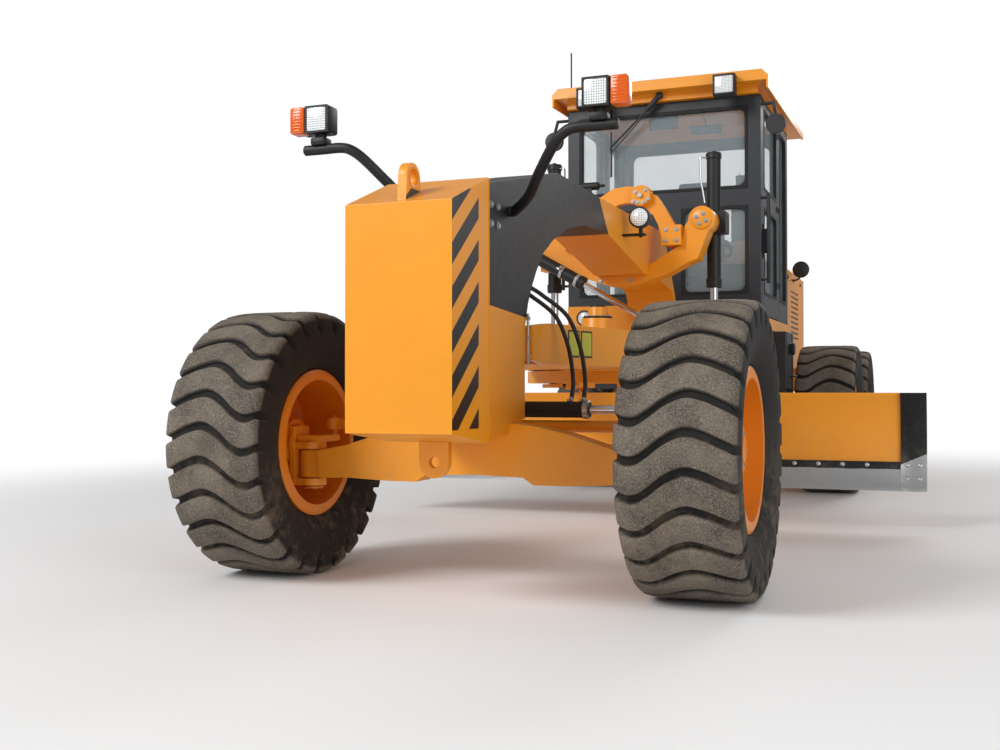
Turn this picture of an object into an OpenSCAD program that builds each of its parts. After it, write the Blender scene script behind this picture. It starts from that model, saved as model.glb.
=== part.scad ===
/* [Machine] */
// Front axle to the middle of the tandem
wheelbase = 6280; // [6200:10:6400]
// Middle of one wheel to the middle of its partner
track = 2090; // [2060:10:2140]
// Front axle to the front face of the weight box
front_reach = 846; // [820:1:880]
// Middle of the tandem to the back of the tow hitch
rear_reach = 2066; // [2040:1:2100]
// Distance between the two wheels of one tandem
tandem_gap = 1540; // [1500:5:1580]

/* [Wheels] */
// Outer radius of a tyre, over its lugs
tyre_r = 638; // [625:1:645]
// Width of a tyre at its widest
tyre_w = 490; // [460:5:500]
// Outer radius of the rim flange
flange_r = 354; // [345:1:365]
// Width of the rim between its flanges
rim_w = 356; // [330:2:370]
// Height of the rim flange over the bead seat
flange_h = 36; // [30:1:40]
// Wall of the rim
rim_t = 14; // [10:1:18]
// Wheel disc, outwards from the middle of the rim
disc_x = 84; // [70:1:100]
// Radius of the wheel hub
hub_r = 112; // [100:1:125]
// Radius of a wheel spindle
spindle_r = 55; // [45:1:60]
// Radial gap round a pin or spindle in its bore
pin_fit = 0.06; // [0.02:0.01:0.09]
// Gap between pieces that seat on each other
seat = 0.3; // [0.1:0.1:0.5]
// Gap beside a piece that turns or slides
gap = 6; // [5:0.5:8]

/* [Front axle] */
// Height of the king pin eye at the beam's end
eye_h = 130; // [110:2:140]
// Middle of the king pin eye above the ground
eye_z = 535; // [525:1:545]
// Depth of the beam, front to back
beam_d = 150; // [130:2:160]
// Top of the beam at its middle
beam_top = 741; // [720:1:760]
// How far the king pin stands in from the wheel's middle
king_in = 165; // [155:1:175]
// Radius of the king pin
king_r = 32; // [26:1:38]
// Steering arm length, back from the king pin
arm_y = 200; // [190:1:205]
// Radius of the steering arm pins
arm_pin_r = 18; // [14:1:20]
// Radius of the tie rod
tie_r = 28; // [22:1:30]
// Height of the tie rod
tie_z = 722; // [718:1:726]
// Height of the steering cylinder
steer_z = 800; // [796:1:806]
// Radius of the steering cylinder
steer_r = 38; // [34:1:40]

/* [Weight box] */
// Half width of the weight box
box_x = 234; // [220:1:250]
// Length of the weight box
box_l = 379; // [350:1:385]
// Bottom of its front face
box_z0 = 719; // [700:1:740]
// Top of its front face
box_z1 = 1633; // [1600:1:1660]
// Rise of its top plate to the rear
box_rise = 147; // [120:1:160]
// Drop of its bottom plate to the rear
box_drop = 49; // [30:1:60]
// Thickness of the lifting eye
eye_t = 40; // [30:1:50]
// Radius of the hole in the lifting eye
eye_hole_r = 32; // [26:1:36]
// Radius of the tow boss under the box
boss_r = 68; // [60:1:72]
// Height of the tow boss's hole
boss_z = 588; // [584:1:594]

/* [Front frame] */
// Half width of the front frame
neck_x = 170; // [160:1:176]
// Height of the level part of the neck
neck_top = 1985; // [1970:1:1995]
// Underside of the neck at the saddle
neck_low = 1650; // [1645:1:1655]
// Frame joint pin behind the front axle
joint_y = 3420; // [3410:1:3430]
// Radius of the frame joint pin
joint_r = 48; // [40:1:55]
// Top of the frame joint
joint_top = 1430; // [1410:1:1440]
// Bottom of the frame joint
joint_low = 900; // [890:1:905]
// Thickness of the frame joint's lugs
lug_t = 44; // [36:1:50]

/* [Blade] */
// Length of the blade with its end bits
blade_l = 3766; // [3600:2:3800]
// Width of one end bit
end_w = 158; // [140:1:170]
// Thickness of the blade plate
blade_t = 18; // [14:1:22]
// Bottom of the blade plate above the ground
plate_low = 300; // [295:1:305]
// Top of the blade plate above the ground
plate_top = 872; // [868:1:874]
// Hollow of the blade's curved face
blade_sag = 74; // [66:1:80]
// Upper and lower edge of the blade behind the front axle
blade_y = 2830; // [2825:1:2835]
// Bottom of the cutting edge above the ground
edge_low = 250; // [245:1:260]
// Top of the cutting edge
edge_top = 430; // [400:2:440]
// Thickness of the cutting edge
edge_t = 20; // [16:1:25]
// Circle centre behind the front axle
circle_y = 2400; // [2395:1:2405]
// Outer radius of the circle
circle_r = 600; // [590:1:605]
// Width of the circle's ring
circle_w = 110; // [105:1:112]
// Lower face of the circle
circle_z = 935; // [933:1:936]
// Thickness of the circle
circle_t = 75; // [70:1:76]
// Lower face of the drawbar
drawbar_z = 1017; // [1017:1:1019]
// Height of the drawbar's side plates in front
drawbar_h = 200; // [190:1:205]
// Drawbar ball behind the front axle
ball_y = 240; // [236:1:244]
// Height of the drawbar ball
ball_z = 1110; // [1105:1:1115]
// Radius of the drawbar ball
ball_r = 58; // [50:1:60]
// Blade tilt pin behind the front axle
tilt_y = 3025; // [3020:1:3030]
// Height of the blade tilt pin
tilt_z = 385; // [380:1:390]
// Radius of the blade tilt pins
tilt_r = 26; // [20:1:28]
// Height of the blade's slide bars
slide_h = 50; // [44:1:54]

/* [Cylinders] */
// Lift cylinders from the middle of the machine
lift_x = 560; // [555:1:565]
// Lift cylinders behind the front axle
lift_y = 2740; // [2735:1:2745]
// Radius of a lift cylinder's barrel
lift_r = 46; // [42:1:50]
// Radius of a lift cylinder's rod
lift_rod_r = 26; // [22:1:28]
// Top of a lift cylinder
lift_top = 2470; // [2450:2:2490]
// Lower end of a lift cylinder's barrel
lift_low = 1583; // [1580:1:1590]
// Radius of the shift cylinder's barrel
shift_r = 42; // [36:1:44]
// Radius of the shift cylinder's rod
shift_rod_r = 20; // [16:1:22]
// Radius of a frame bend cylinder's barrel
bend_r = 40; // [34:1:42]
// Height of the frame bend cylinders
bend_z = 1040; // [1035:1:1045]

/* [Cab] */
// Half width of the cab
cab_x = 740; // [730:1:750]
// Windscreen behind the front axle
cab_y0 = 3600; // [3595:1:3605]
// Back wall behind the front axle
cab_y1 = 5060; // [5040:2:5080]
// Underside of the cab floor
cab_z0 = 1350; // [1345:1:1355]
// Thickness of the cab floor
floor_t = 90; // [80:1:100]
// Underside of the roof
cab_z1 = 3060; // [3050:2:3070]
// Thickness of a cab wall
wall = 60; // [52:1:64]
// Thickness of a door
door_t = 50; // [40:1:50]
// Rear edge of a door behind the front axle
door_y1 = 4478; // [4440:2:4500]
// Gap round a door
door_gap = 8; // [6:0.5:10]
// Thickness of the glass
glass = 6; // [5:1:8]
// Height of the roof's band between the walls and the lip
roof_band = 60; // [50:1:70]
// Height of the roof's lip
roof_lip = 80; // [70:1:90]
// Roof overhang in front of the windscreen
roof_front = 160; // [140:2:180]
// Roof overhang behind the back wall
roof_back = 490; // [460:2:510]
// Roof overhang at the sides
roof_side = 78; // [70:1:86]
// Bottom of the lower windows
low_win_z0 = 1600; // [1580:2:1640]
// Top of the lower windows
low_win_z1 = 2250; // [2220:2:2270]
// Bottom of the upper windows
high_win_z0 = 2377; // [2360:1:2400]
// Top of the upper windows
high_win_z1 = 2985; // [2970:1:2990]

/* [Rear] */
// Half width of the engine hood
hood_x = 510; // [500:1:520]
// Top of the engine hood
hood_z = 2180; // [2150:2:2200]
// Slope at the hood's upper edges
hood_edge = 90; // [70:2:110]
// Wall of the hood
hood_t = 30; // [20:1:36]
// Outer half width of the main rails
rail_x = 330; // [325:1:335]
// Width of a main rail
rail_w = 90; // [80:1:100]
// Underside of the main rails
rail_z = 930; // [925:1:935]
// Height of the main rails
rail_h = 220; // [210:1:230]
// Thickness of the deck plate on the rails
deck_t = 30; // [20:1:40]
// Thickness of a tandem case
case_t = 150; // [130:2:160]
// Height of a tandem case
case_h = 330; // [300:2:350]

/* [Hidden] */
$fn = 48;
mid_y = (wheelbase + rear_reach - front_reach) / 2;
axle_z = tyre_r;
mid_wheel_y = wheelbase - tandem_gap / 2;
rear_wheel_y = wheelbase + tandem_gap / 2;
hub_in = 70;
king_x = track / 2 - king_in;
hub_out = disc_x + 74;
deck_z = rail_z + rail_h;
cab_floor_z = cab_z0 + floor_t;
box_y1 = -front_reach + box_l;

paint = "#f5a02a";
rim_paint = "#ee8a1c";
black = "#1d1e20";
charcoal = "#3a3f45";
steel = "#8d8f90";
chrome = "#d6d8da";
rubber = "#3c3833";
clear = "#bfd4de";

// Puts lengths that are counted back from the front axle round the origin
module at_frame() translate([0, -mid_y, 0]) children();

module both_sides() {
    children();
    mirror([1, 0, 0]) children();
}

// The left or the right one of a mirrored pair
module on_side(side) mirror([side < 0 ? 1 : 0, 0, 0]) children();

// A block given by its two corners
module block(low, high) translate(low) cube(high - low);

// An outline in the side view, [y, z], given a width along x
module side_plate(x0, x1, outline)
    translate([x0, 0, 0]) rotate([90, 0, 90]) linear_extrude(x1 - x0) polygon(outline);

// An outline in the front view, [x, z], given a depth along y
module front_plate(y0, y1, outline)
    translate([0, y1, 0]) rotate([90, 0, 0]) linear_extrude(y1 - y0) polygon(outline);

// An outline in the top view, [x, y], given a height
module top_plate(z0, z1, outline)
    translate([0, 0, z0]) linear_extrude(z1 - z0) polygon(outline);

module x_pin(r, x0, x1, y, z) translate([x0, y, z]) rotate([0, 90, 0]) cylinder(r = r, h = x1 - x0);
module y_pin(r, x, y0, y1, z) translate([x, y1, z]) rotate([90, 0, 0]) cylinder(r = r, h = y1 - y0);
module z_pin(r, x, y, z0, z1) translate([x, y, z0]) cylinder(r = r, h = z1 - z0);

// A round bar between two points
module bar(a, b, r) {
    v = b - a;
    translate(a) rotate([0, acos(v[2] / norm(v)), atan2(v[1], v[0])]) cylinder(r = r, h = norm(v));
}

// A round bar through a list of points, with a ball at each bend
module bent_bar(points, r) {
    for (i = [0 : len(points) - 2]) bar(points[i], points[i + 1], r);
    for (i = [1 : len(points) - 2]) translate(points[i]) sphere(r = r * 1.06);
}

// Wheels

// Half of the tyre's section: [radius, half width]
tyre_half = [[flange_r - flange_h, rim_w / 2 - 9], [flange_r - flange_h + 7, rim_w / 2 - 1],
    [flange_r + 1, rim_w / 2 - 1], [flange_r + 12, rim_w / 2 + 18], [flange_r + 60, tyre_w / 2 - 26],
    [flange_r + 110, tyre_w / 2 - 8], [flange_r + 165, tyre_w / 2], [tyre_r - 60, tyre_w / 2 - 1],
    [tyre_r - 28, tyre_w / 2 - 5], [tyre_r - 11, tyre_w / 2 - 18], [tyre_r - 4, tyre_w / 2 - 50],
    [tyre_r, tyre_w / 2 - 110]];

module tyre(side, y)
    at_frame() color(rubber) translate([side * track / 2, y, axle_z]) rotate([0, 90, 0])
        rotate_extrude($fn = 96) polygon(concat(tyre_half,
            [for (i = [len(tyre_half) - 1 : -1 : 0]) [tyre_half[i][0], -tyre_half[i][1]]]));

// The rim's section with its disc and hub: [radius, place outwards along the axle]
module rim(side, y) {
    seat_r = flange_r - flange_h - seat;
    half = rim_w / 2;
    in_r = seat_r - rim_t;
    at_frame() color(rim_paint) translate([side * track / 2, y, axle_z]) rotate([0, side * 90, 0])
        rotate_extrude($fn = 96) polygon([
            [spindle_r + pin_fit, -hub_in], [hub_r, -hub_in], [hub_r, disc_x - 40],
            [200, disc_x - 6], [in_r - 40, disc_x], [in_r, disc_x - 20],
            [in_r, -half - rim_t - 8], [flange_r - 14, -half - rim_t - 8],
            [flange_r, -half - rim_t], [flange_r, -half - 2], [flange_r - 6, -half],
            [seat_r + 6, -half], [seat_r, -half + 8], [seat_r, half - 8], [seat_r + 6, half],
            [flange_r - 6, half], [flange_r, half + 2], [flange_r, half + rim_t],
            [flange_r - 14, half + rim_t + 8], [in_r, half + rim_t + 8],
            [in_r, disc_x + 20], [in_r - 40, disc_x + rim_t], [200, disc_x + rim_t],
            [hub_r + 34, disc_x - 6], [hub_r + 34, disc_x + 20], [hub_r, disc_x + 26],
            [hub_r - 8, hub_out - 4], [hub_r - 14, hub_out], [0, hub_out],
            [0, hub_out - 30], [spindle_r + pin_fit, hub_out - 30]]);
}

// A spindle and the shoulder beside its hub
module spindle(y, shoulder_x) {
    x_pin(spindle_r, track / 2 - hub_in - 20, track / 2 + hub_out - 30 - gap, y, axle_z);
    x_pin(spindle_r + 28, shoulder_x, track / 2 - hub_in - gap, y, axle_z);
}

// Rear frame

module rear_frame() {
    y0 = joint_y + 110;
    y1 = wheelbase + rear_reach - 150;
    hitch_y = wheelbase + rear_reach - 70;
    in_x = rail_x - rail_w;
    rail_top = deck_z - deck_t - seat;
    pin_low = bend_z - 24 - gap;
    at_frame() color(paint) {
        both_sides() {
            block([in_x, y0 + 70 + seat, rail_z], [rail_x, y1 - seat, rail_top]);
            for (y = [cab_y0 + 100, cab_y1 - 200]) block([in_x, y, rail_top - 1], [rail_x, y + 100, cab_z0 - seat]);
            block([rail_x - 1, bend_rear[1] - 45, pin_low - 25], [bend_rear[0] + 40, bend_rear[1] + 40, pin_low]);
            z_pin(22, bend_rear[0], bend_rear[1], pin_low - 1, bend_z + 30);
        }
        for (y = [wheelbase - 900, wheelbase + 500, y1 - 90])
            block([-in_x + seat, y, rail_z], [in_x - seat, y + 60, rail_top]);
        block([-hood_x, cab_y1 + 60, deck_z - deck_t], [hood_x, y1 - seat, deck_z]);
        both_sides() difference() {
            block([rail_x - 1, y0 + 1, cab_z0 - 10], [cab_x - 20, y0 + 60, joint_top + 100]);
            y_pin(62, cab_x - 150, y0, y0 + 30, 1440);
        }
        block([-rail_x, y0, joint_low], [rail_x, y0 + 70, joint_top + 101]);
        for (z = [joint_top - lug_t, joint_low]) {
            z_pin(joint_r + 50, 0, joint_y, z, z + lug_t);
            top_plate(z, z + lug_t, [[-joint_r - 50, joint_y], [joint_r + 50, joint_y],
                [joint_r + 90, y0 + 1], [-joint_r - 90, y0 + 1]]);
        }
        z_pin(joint_r, 0, joint_y, joint_low + 1, joint_top - 1);
        block([-hood_x - 20, y1, rail_z - 60], [hood_x + 20, y1 + 50, deck_z + 60]);
        both_sides() block([hood_x - 170, y1 + 49, deck_z - 70], [hood_x - 10, y1 + 80, deck_z + 20]);
        for (z = [rail_z - 10, rail_z + 90]) difference() {
            union() {
                block([-70, y1 + 49, z], [70, hitch_y, z + 30]);
                z_pin(70, 0, hitch_y, z, z + 30);
            }
            z_pin(26, 0, hitch_y, z - 1, z + 31);
        }
    }
}

module tandem_axle() {
    low = axle_z - case_h / 2;
    top = axle_z + case_h / 2;
    case_x = track / 2 - tyre_w / 2 - 25 - case_t;
    tube_z = axle_z + 30;
    at_frame() color(paint) {
        both_sides() {
            block([case_x, mid_wheel_y, low], [case_x + case_t, rear_wheel_y, top]);
            for (y = [mid_wheel_y, rear_wheel_y]) {
                x_pin(case_h / 2, case_x, case_x + case_t, y, axle_z);
                spindle(y, case_x + case_t - 1);
            }
            x_pin(150, rail_x - rail_w, case_x + 1, wheelbase, tube_z);
            block([rail_x - rail_w + 10, wheelbase - 170, axle_z],
                [rail_x - 10, wheelbase + 170, rail_z - seat]);
        }
        x_pin(110, -rail_x + rail_w - 1, rail_x - rail_w + 1, wheelbase, tube_z);
        x_pin(190, -130, 130, wheelbase, tube_z);
    }
}

module engine_block()
    at_frame() color(charcoal)
        block([-300, wheelbase - 330, deck_z + seat], [300, wheelbase + 870, hood_z - 230]);

// Louvred fields on the hood's sides: front end, rear end, lowest slot
louvres = [[5190, 5470, 1420], [5900, 6300, 1500], [7100, 7700, 1420]];
louvre_n = 10;
louvre_step = 52;
hood_seams = [5560, 6440, 6990];

module engine_hood() {
    y0 = cab_y1 + 60;
    y1 = wheelbase + rear_reach - 150 - 10;
    low = deck_z + seat;
    in_x = hood_x - hood_t;
    in_edge = hood_edge - hood_t / 3;
    at_frame() color(paint) difference() {
        front_plate(y0, y1, [[-hood_x, low], [hood_x, low], [hood_x, hood_z - hood_edge],
            [hood_x - hood_edge, hood_z], [-hood_x + hood_edge, hood_z], [-hood_x, hood_z - hood_edge]]);
        front_plate(y0 + hood_t, y1 - hood_t, [[-in_x, low - 1], [in_x, low - 1],
            [in_x, hood_z - hood_t - in_edge], [in_x - in_edge, hood_z - hood_t],
            [-in_x + in_edge, hood_z - hood_t], [-in_x, hood_z - hood_t - in_edge]]);
        for (p = louvres, i = [0 : louvre_n - 1]) both_sides()
            block([hood_x - 12, p[0], p[2] + i * louvre_step], [hood_x + 1, p[1], p[2] + i * louvre_step + 22]);
        for (y = hood_seams) both_sides() block([hood_x - 8, y, low + 60], [hood_x + 1, y + 6, hood_z - hood_edge]);
        for (i = [-6 : 6]) block([i * 62 - 22, y1 - 22, low + 150], [i * 62 + 22, y1 + 1, hood_z - 190]);
    }
}

module exhaust_stack()
    at_frame() color(charcoal) {
        z_pin(85, 230, 5750, hood_z + seat, hood_z + 400);
        z_pin(42, 230, 5750, hood_z + 399, hood_z + 680);
        z_pin(100, -230, 5750, hood_z + seat, hood_z + 300);
        z_pin(55, -230, 5750, hood_z + 299, hood_z + 380);
        z_pin(110, -230, 5750, hood_z + 379, hood_z + 450);
    }

module side_tanks()
    at_frame() color(charcoal) both_sides() {
        block([rail_x + seat, 4310, 900], [cab_x + 80, 4780, cab_z0 - seat]);
        for (z = [480, 690]) block([cab_x - 140, 4340, z], [cab_x + 80, 4760, z + 30]);
        for (y = [4311, 4749]) block([cab_x + 20, y, 450], [cab_x + 80, y + 30, 901]);
    }

// Cab

module cab_base()
    at_frame() color(paint)
        block([-cab_x, cab_y0, cab_z0], [cab_x, cab_y1, cab_floor_z]);

// Windows in the front wall: [x0, x1, z0, z1]
front_windows = [[-645, 645, high_win_z0, high_win_z1], [-645, -150, low_win_z0, low_win_z1],
    [150, 645, low_win_z0, low_win_z1]];
back_window = [-620, 620, low_win_z0 + 350, high_win_z1];

module cab_front()
    at_frame() color(charcoal) difference() {
        block([-cab_x, cab_y0, cab_floor_z + seat], [cab_x, cab_y0 + wall, cab_z1]);
        for (w = front_windows) block([w[0], cab_y0 - 1, w[2]], [w[1], cab_y0 + wall + 1, w[3]]);
    }

module cab_rear() {
    y0 = door_y1 + door_gap;
    at_frame() color(charcoal) difference() {
        block([-cab_x, y0, cab_floor_z + seat], [cab_x, cab_y1, cab_z1]);
        block([-cab_x + wall, y0 - 1, cab_floor_z], [cab_x - wall, cab_y1 - wall, cab_z1 + 1]);
        block([-cab_x - 1, y0 + 90, low_win_z0], [cab_x + 1, cab_y1 - 110, high_win_z1]);
        block([back_window[0], cab_y1 - wall - 1, back_window[2]],
            [back_window[1], cab_y1 + 1, back_window[3]]);
    }
}

module cab_roof() {
    low = cab_z1 + seat;
    lip_z = low + roof_band;
    top = lip_z + roof_lip;
    out_x = cab_x + roof_side;
    y0 = cab_y0 - roof_front;
    y1 = cab_y1 + roof_back;
    at_frame() color(paint) difference() {
        union() {
            front_plate(y0, y1, [[-out_x, lip_z], [out_x, lip_z], [out_x, lip_z + 35], [out_x - 45, top],
                [-out_x + 45, top], [-out_x, lip_z + 35]]);
            both_sides() side_plate(out_x - 16, out_x, [[y0, low], [y0, lip_z + 1], [y1, lip_z + 1],
                [y1, lip_z - 10]]);
            block([-cab_x + 8, cab_y0 - 50, low], [cab_x - 8, cab_y1 + 60, lip_z + 1]);
        }
        block([-cab_x + wall, cab_y0 + wall, low - 1], [cab_x - wall, cab_y1 - wall, top - 40]);
    }
}

module cab_glass()
    at_frame() color(clear) {
        for (w = front_windows) block([w[0] + seat, cab_y0 + wall / 2, w[2] + seat],
            [w[1] - seat, cab_y0 + wall / 2 + glass, w[3] - seat]);
        block([back_window[0] + seat, cab_y1 - wall / 2, back_window[2] + seat],
            [back_window[1] - seat, cab_y1 - wall / 2 + glass, back_window[3] - seat]);
        both_sides() block([cab_x - wall / 2, door_y1 + door_gap + 90 + seat, low_win_z0 + seat],
            [cab_x - wall / 2 + glass, cab_y1 - 110 - seat, high_win_z1 - seat]);
    }

// Axis of the door hinges
hinge_x = cab_x + 12;
hinge_y = door_y1 + 4;

module door(side) {
    y0 = cab_y0 + wall + door_gap;
    rim_w = 80;
    panes = [[low_win_z0, low_win_z1], [high_win_z0, high_win_z1]];
    on_side(side) at_frame() {
        color(charcoal) difference() {
            block([cab_x - door_t, y0, cab_floor_z + door_gap], [cab_x, door_y1, cab_z1 - door_gap]);
            for (p = panes) block([cab_x - door_t - 1, y0 + rim_w, p[0]], [cab_x + 1, door_y1 - rim_w, p[1]]);
        }
        color(charcoal) {
            for (z = [1700, 2310, 2900]) {
                block([cab_x - 1, door_y1 - 70, z], [cab_x + 8, hinge_y, z + 40]);
                z_pin(10, hinge_x, hinge_y, z, z + 40);
            }
            block([cab_x - 1, y0 + 24, 1900], [cab_x + 34, y0 + 46, 2080]);
        }
        color(clear) for (p = panes) block([cab_x - door_t / 2, y0 + rim_w + seat, p[0] + seat],
            [cab_x - door_t / 2 + glass, door_y1 - rim_w - seat, p[1] - seat]);
    }
}

module cab_seat()
    at_frame() color(black) {
        z_pin(70, 0, 4560, cab_floor_z + seat, 1840);
        block([-260, 4300, 1839], [260, 4820, 1960]);
        block([-250, 4760, 1959], [250, 4880, 2480]);
        block([-140, 4790, 2479], [140, 4860, 2660]);
    }

module cab_controls()
    at_frame() color(charcoal) {
        block([-140, cab_y0 + wall + seat, cab_floor_z + seat], [140, cab_y0 + 240, 2000]);
        bar([0, 3790, 1990], [0, 3975, 2145], 35);
        translate([0, 3990, 2160]) rotate([-50, 0, 0]) {
            rotate_extrude($fn = 64) translate([200, 0]) circle(r = 16);
            translate([0, 0, -20]) cylinder(r = 45, h = 40);
            for (a = [0, 120, 240]) rotate([0, 0, a]) block([30, -14, -8], [200, 14, 8]);
        }
    }

module cab_fittings()
    at_frame() color(black) {
        both_sides() {
            bent_bar([[cab_x + seat, cab_y0 + 20, 2990], [cab_x + 90, cab_y0 + 20, 2990],
                [cab_x + 110, cab_y0, 2890]], 12);
            y_pin(72, cab_x + 110, cab_y0 - 20, cab_y0 + 12, 2830);
            for (z = [1700, 2300]) x_pin(10, cab_x + seat, cab_x + 52, cab_y0 + 30, z);
            z_pin(14, cab_x + 50, cab_y0 + 30, 1670, 2330);
            block([436, cab_y0 - roof_front - 80, cab_z1 - 43],
                [594, cab_y0 - roof_front - seat, cab_z1 + 107]);
        }
        z_pin(6, -cab_x - 20, 3750, cab_z1 + roof_band + roof_lip + 2 * seat, cab_z1 + 500);
    }

// Front frame

// Side outline of the front frame: [y, z]
neck = [[box_y1 + seat, 690], [box_y1 + seat, 1745], [-294, 1791], [632, neck_top + 10],
    [1750, neck_top], [2950, neck_top], [joint_y - 110, 1560], [joint_y - 110, joint_low + lug_t + gap],
    [joint_y - 180, joint_low + lug_t + gap], [joint_y - 180, 1540], [3180, 1600], [2800, neck_low],
    [2400, neck_low], [1560, 1800], [1100, 1790], [800, 1735], [560, 1645], [410, 1562], [310, 1467],
    [240, 1380], [190, 1300], [145, 1180], [145, 756], [112, 756], [112, 690]];

// Rear pin of a frame bend cylinder and its eye on the front frame, [x, y]
bend_rear = [470, 4150];
bend_front = [400, joint_y - 150];
ram_y = arm_y;

module front_frame() {
    at_frame() color(black) difference() {
        union() {
            side_plate(-neck_x, neck_x, neck);
            for (z = [joint_top - lug_t - gap - 70, joint_low + lug_t + gap]) {
                z_pin(joint_r + 50, 0, joint_y, z, z + 70);
                top_plate(z, z + 70, [[-neck_x, joint_y - 160], [neck_x, joint_y - 160],
                    [joint_r + 50, joint_y], [-joint_r - 50, joint_y]]);
            }
            block([-bend_front[0] - 40, joint_y - 190, bend_z - 24 - gap - 25],
                [bend_front[0] + 40, joint_y - 111, bend_z - 24 - gap]);
            block([-80, 144, ball_z - 80], [80, ball_y - 40, ball_z + 80]);
            for (z = [steer_z - 22 - seat - 14, steer_z + 22 + seat])
                block([0, 144, z], [80, ram_y + 40, z + 14]);
            z_pin(20, 40, ram_y, steer_z - 30, steer_z + 30);
        }
        z_pin(joint_r + pin_fit, 0, joint_y, joint_low, joint_top);
        translate([0, ball_y, ball_z]) sphere(r = ball_r + seat);
        block([-neck_x - 1, -beam_d / 2 - seat, 0], [neck_x + 1, beam_d / 2 + seat, beam_top + seat]);
    }
}

module weight_box() {
    y0 = -front_reach;
    at_frame() color(paint) {
        side_plate(-box_x, box_x, [[y0, box_z0], [box_y1, box_z0 - box_drop],
            [box_y1, box_z1 + box_rise], [y0, box_z1]]);
        difference() {
            union() {
                side_plate(-eye_t / 2, eye_t / 2, [[y0 + 34, box_z1], [y0 + 184, box_z1 + 36],
                    [y0 + 168, box_z1 + 110], [y0 + 44, box_z1 + 110]]);
                x_pin(62, -eye_t / 2, eye_t / 2, y0 + 106, box_z1 + 110);
            }
            x_pin(eye_hole_r, -eye_t, eye_t, y0 + 106, box_z1 + 115);
        }
        difference() {
            union() {
                block([-boss_r, box_y1 - 40, boss_z], [boss_r, box_y1 - 5, box_z0 - box_drop + 5]);
                y_pin(boss_r, 0, box_y1 - 40, box_y1 - 5, boss_z);
            }
            y_pin(24, 0, box_y1 - 41, box_y1 - 4, boss_z);
        }
    }
}

module head_lamps()
    at_frame() color(black) {
        both_sides() {
            bent_bar([[neck_x + seat, -60, 1700], [200, -60, 1700], [290, -130, 1750], [360, -200, 1830],
                [455, -270, 1940], [560, -298, 1997], [745, -298, 1997]], 22);
            z_pin(15, 665, -298, 1997, 2064);
            block([600, -345, 2063], [801, -250, 2193]);
        }
        y_pin(64, 280, 1850, 1910, 1934);
        z_pin(12, 280, 1885, 1838, 1880);
        block([neck_x + seat, 1860, 1826], [310, 1910, 1839]);
    }

// Half outlines of the saddle in the front view: [x, z]
saddle_arm = [[0, neck_low - 75], [111, neck_low - 60], [300, 1655], [434, 1722], [500, 1745],
    [585, 1965], [560, 2050], [480, 2055], [415, 1960], [393, 1841], [346, 1816], [neck_x + seat, 1710],
    [neck_x + seat, neck_low - seat], [0, neck_low - seat]];
saddle_bow = [[352, 1900], [325, 1992], [262, 2100], [206, 2186], [96, 2252], [0, 2262], [0, 2150],
    [60, 2142], [neck_x + 10, 2060], [214, 1992], [236, 1900]];
saddle_y = 2500;
saddle_d = 165;
yoke = [525, 2000];
shift_pin = [-520, 1750];
shift_eye = [400, 1222];
shift_y = saddle_y - 50;
shift_piston_r = 32;

module lift_saddle()
    at_frame() color(paint) {
        difference() {
            union() {
                both_sides() {
                    front_plate(saddle_y, saddle_y + saddle_d, saddle_arm);
                    y_pin(86, yoke[0], saddle_y, saddle_y + saddle_d, yoke[1]);
                    block([270, saddle_y - 44, 1835], [399, saddle_y + 20, 1966]);
                    block([300, saddle_y + 19, 1830], [420, saddle_y + saddle_d, 1950]);
                }
                y_pin(72, 104, saddle_y + 80, saddle_y + 130, 2188);
                front_plate(saddle_y, saddle_y + 100, [[shift_pin[0] - 60, shift_pin[1] - 50],
                    [shift_pin[0] + 70, shift_pin[1] - 50], [shift_pin[0] + 130, shift_pin[1] + 60],
                    [shift_pin[0] - 60, shift_pin[1] + 170]]);
            }
            both_sides() y_pin(28 + pin_fit, yoke[0], saddle_y - 1, saddle_y + saddle_d + 1, yoke[1]);
            y_pin(24 + pin_fit, shift_pin[0], saddle_y - 1, saddle_y + 96, shift_pin[1]);
        }
        both_sides() front_plate(saddle_y + 100, saddle_y + saddle_d, saddle_bow);
    }

// Front beam, half outline in the front view: [x, z]
beam_half = [[0, 506], [239, 499], [291, 466], [440, 466], [656, 476], [800, eye_z - eye_h / 2],
    [820, eye_z + eye_h / 2], [657, 630], [440, 697], [301, 728], [168, beam_top], [0, beam_top]];

module front_axle() {
    low = eye_z - eye_h / 2;
    at_frame() color(paint) difference() {
        both_sides() {
            front_plate(-beam_d / 2, beam_d / 2, beam_half);
            z_pin(king_r + 30, king_x, 0, low, low + eye_h);
            block([king_x - 90, -60, low], [king_x, 60, low + eye_h]);
        }
        both_sides() z_pin(king_r + pin_fit, king_x, 0, low - 1, low + eye_h + 1);
    }
}

// Route of the two hoses down to the steering cylinder
hose_route = [[100, 262, 1380], [130, 330, 1350], [235, 400, 1250], [300, 400, 1100],
    [350, 320, 940], [370, 235, 852]];

module frame_hoses()
    at_frame() color(black) for (x = [0, 60])
        bent_bar([for (i = [0 : len(hose_route) - 1]) hose_route[i] + [x, i == 0 ? -8 : 0, 0]], 10);

// Middle of the lug on the tie rod that the steering cylinder pushes
tie_lug_x = 640;

module steer_barrel()
    at_frame() color(black) difference() {
        union() {
            x_pin(steer_r, 90, 468, ram_y, steer_z);
            z_pin(34, 40, ram_y, steer_z - 22, steer_z + 22);
            x_pin(22, 60, 91, ram_y, steer_z);
        }
        z_pin(20 + pin_fit, 40, ram_y, steer_z - 40, steer_z + 40);
        x_pin(20 + pin_fit, 130, 481, ram_y, steer_z);
    }

module steer_rod()
    at_frame() color(chrome) {
        x_pin(20, 290, tie_lug_x - 20, ram_y, steer_z);
        z_pin(32, tie_lug_x, ram_y, steer_z - 23, steer_z + 23);
    }

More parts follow.
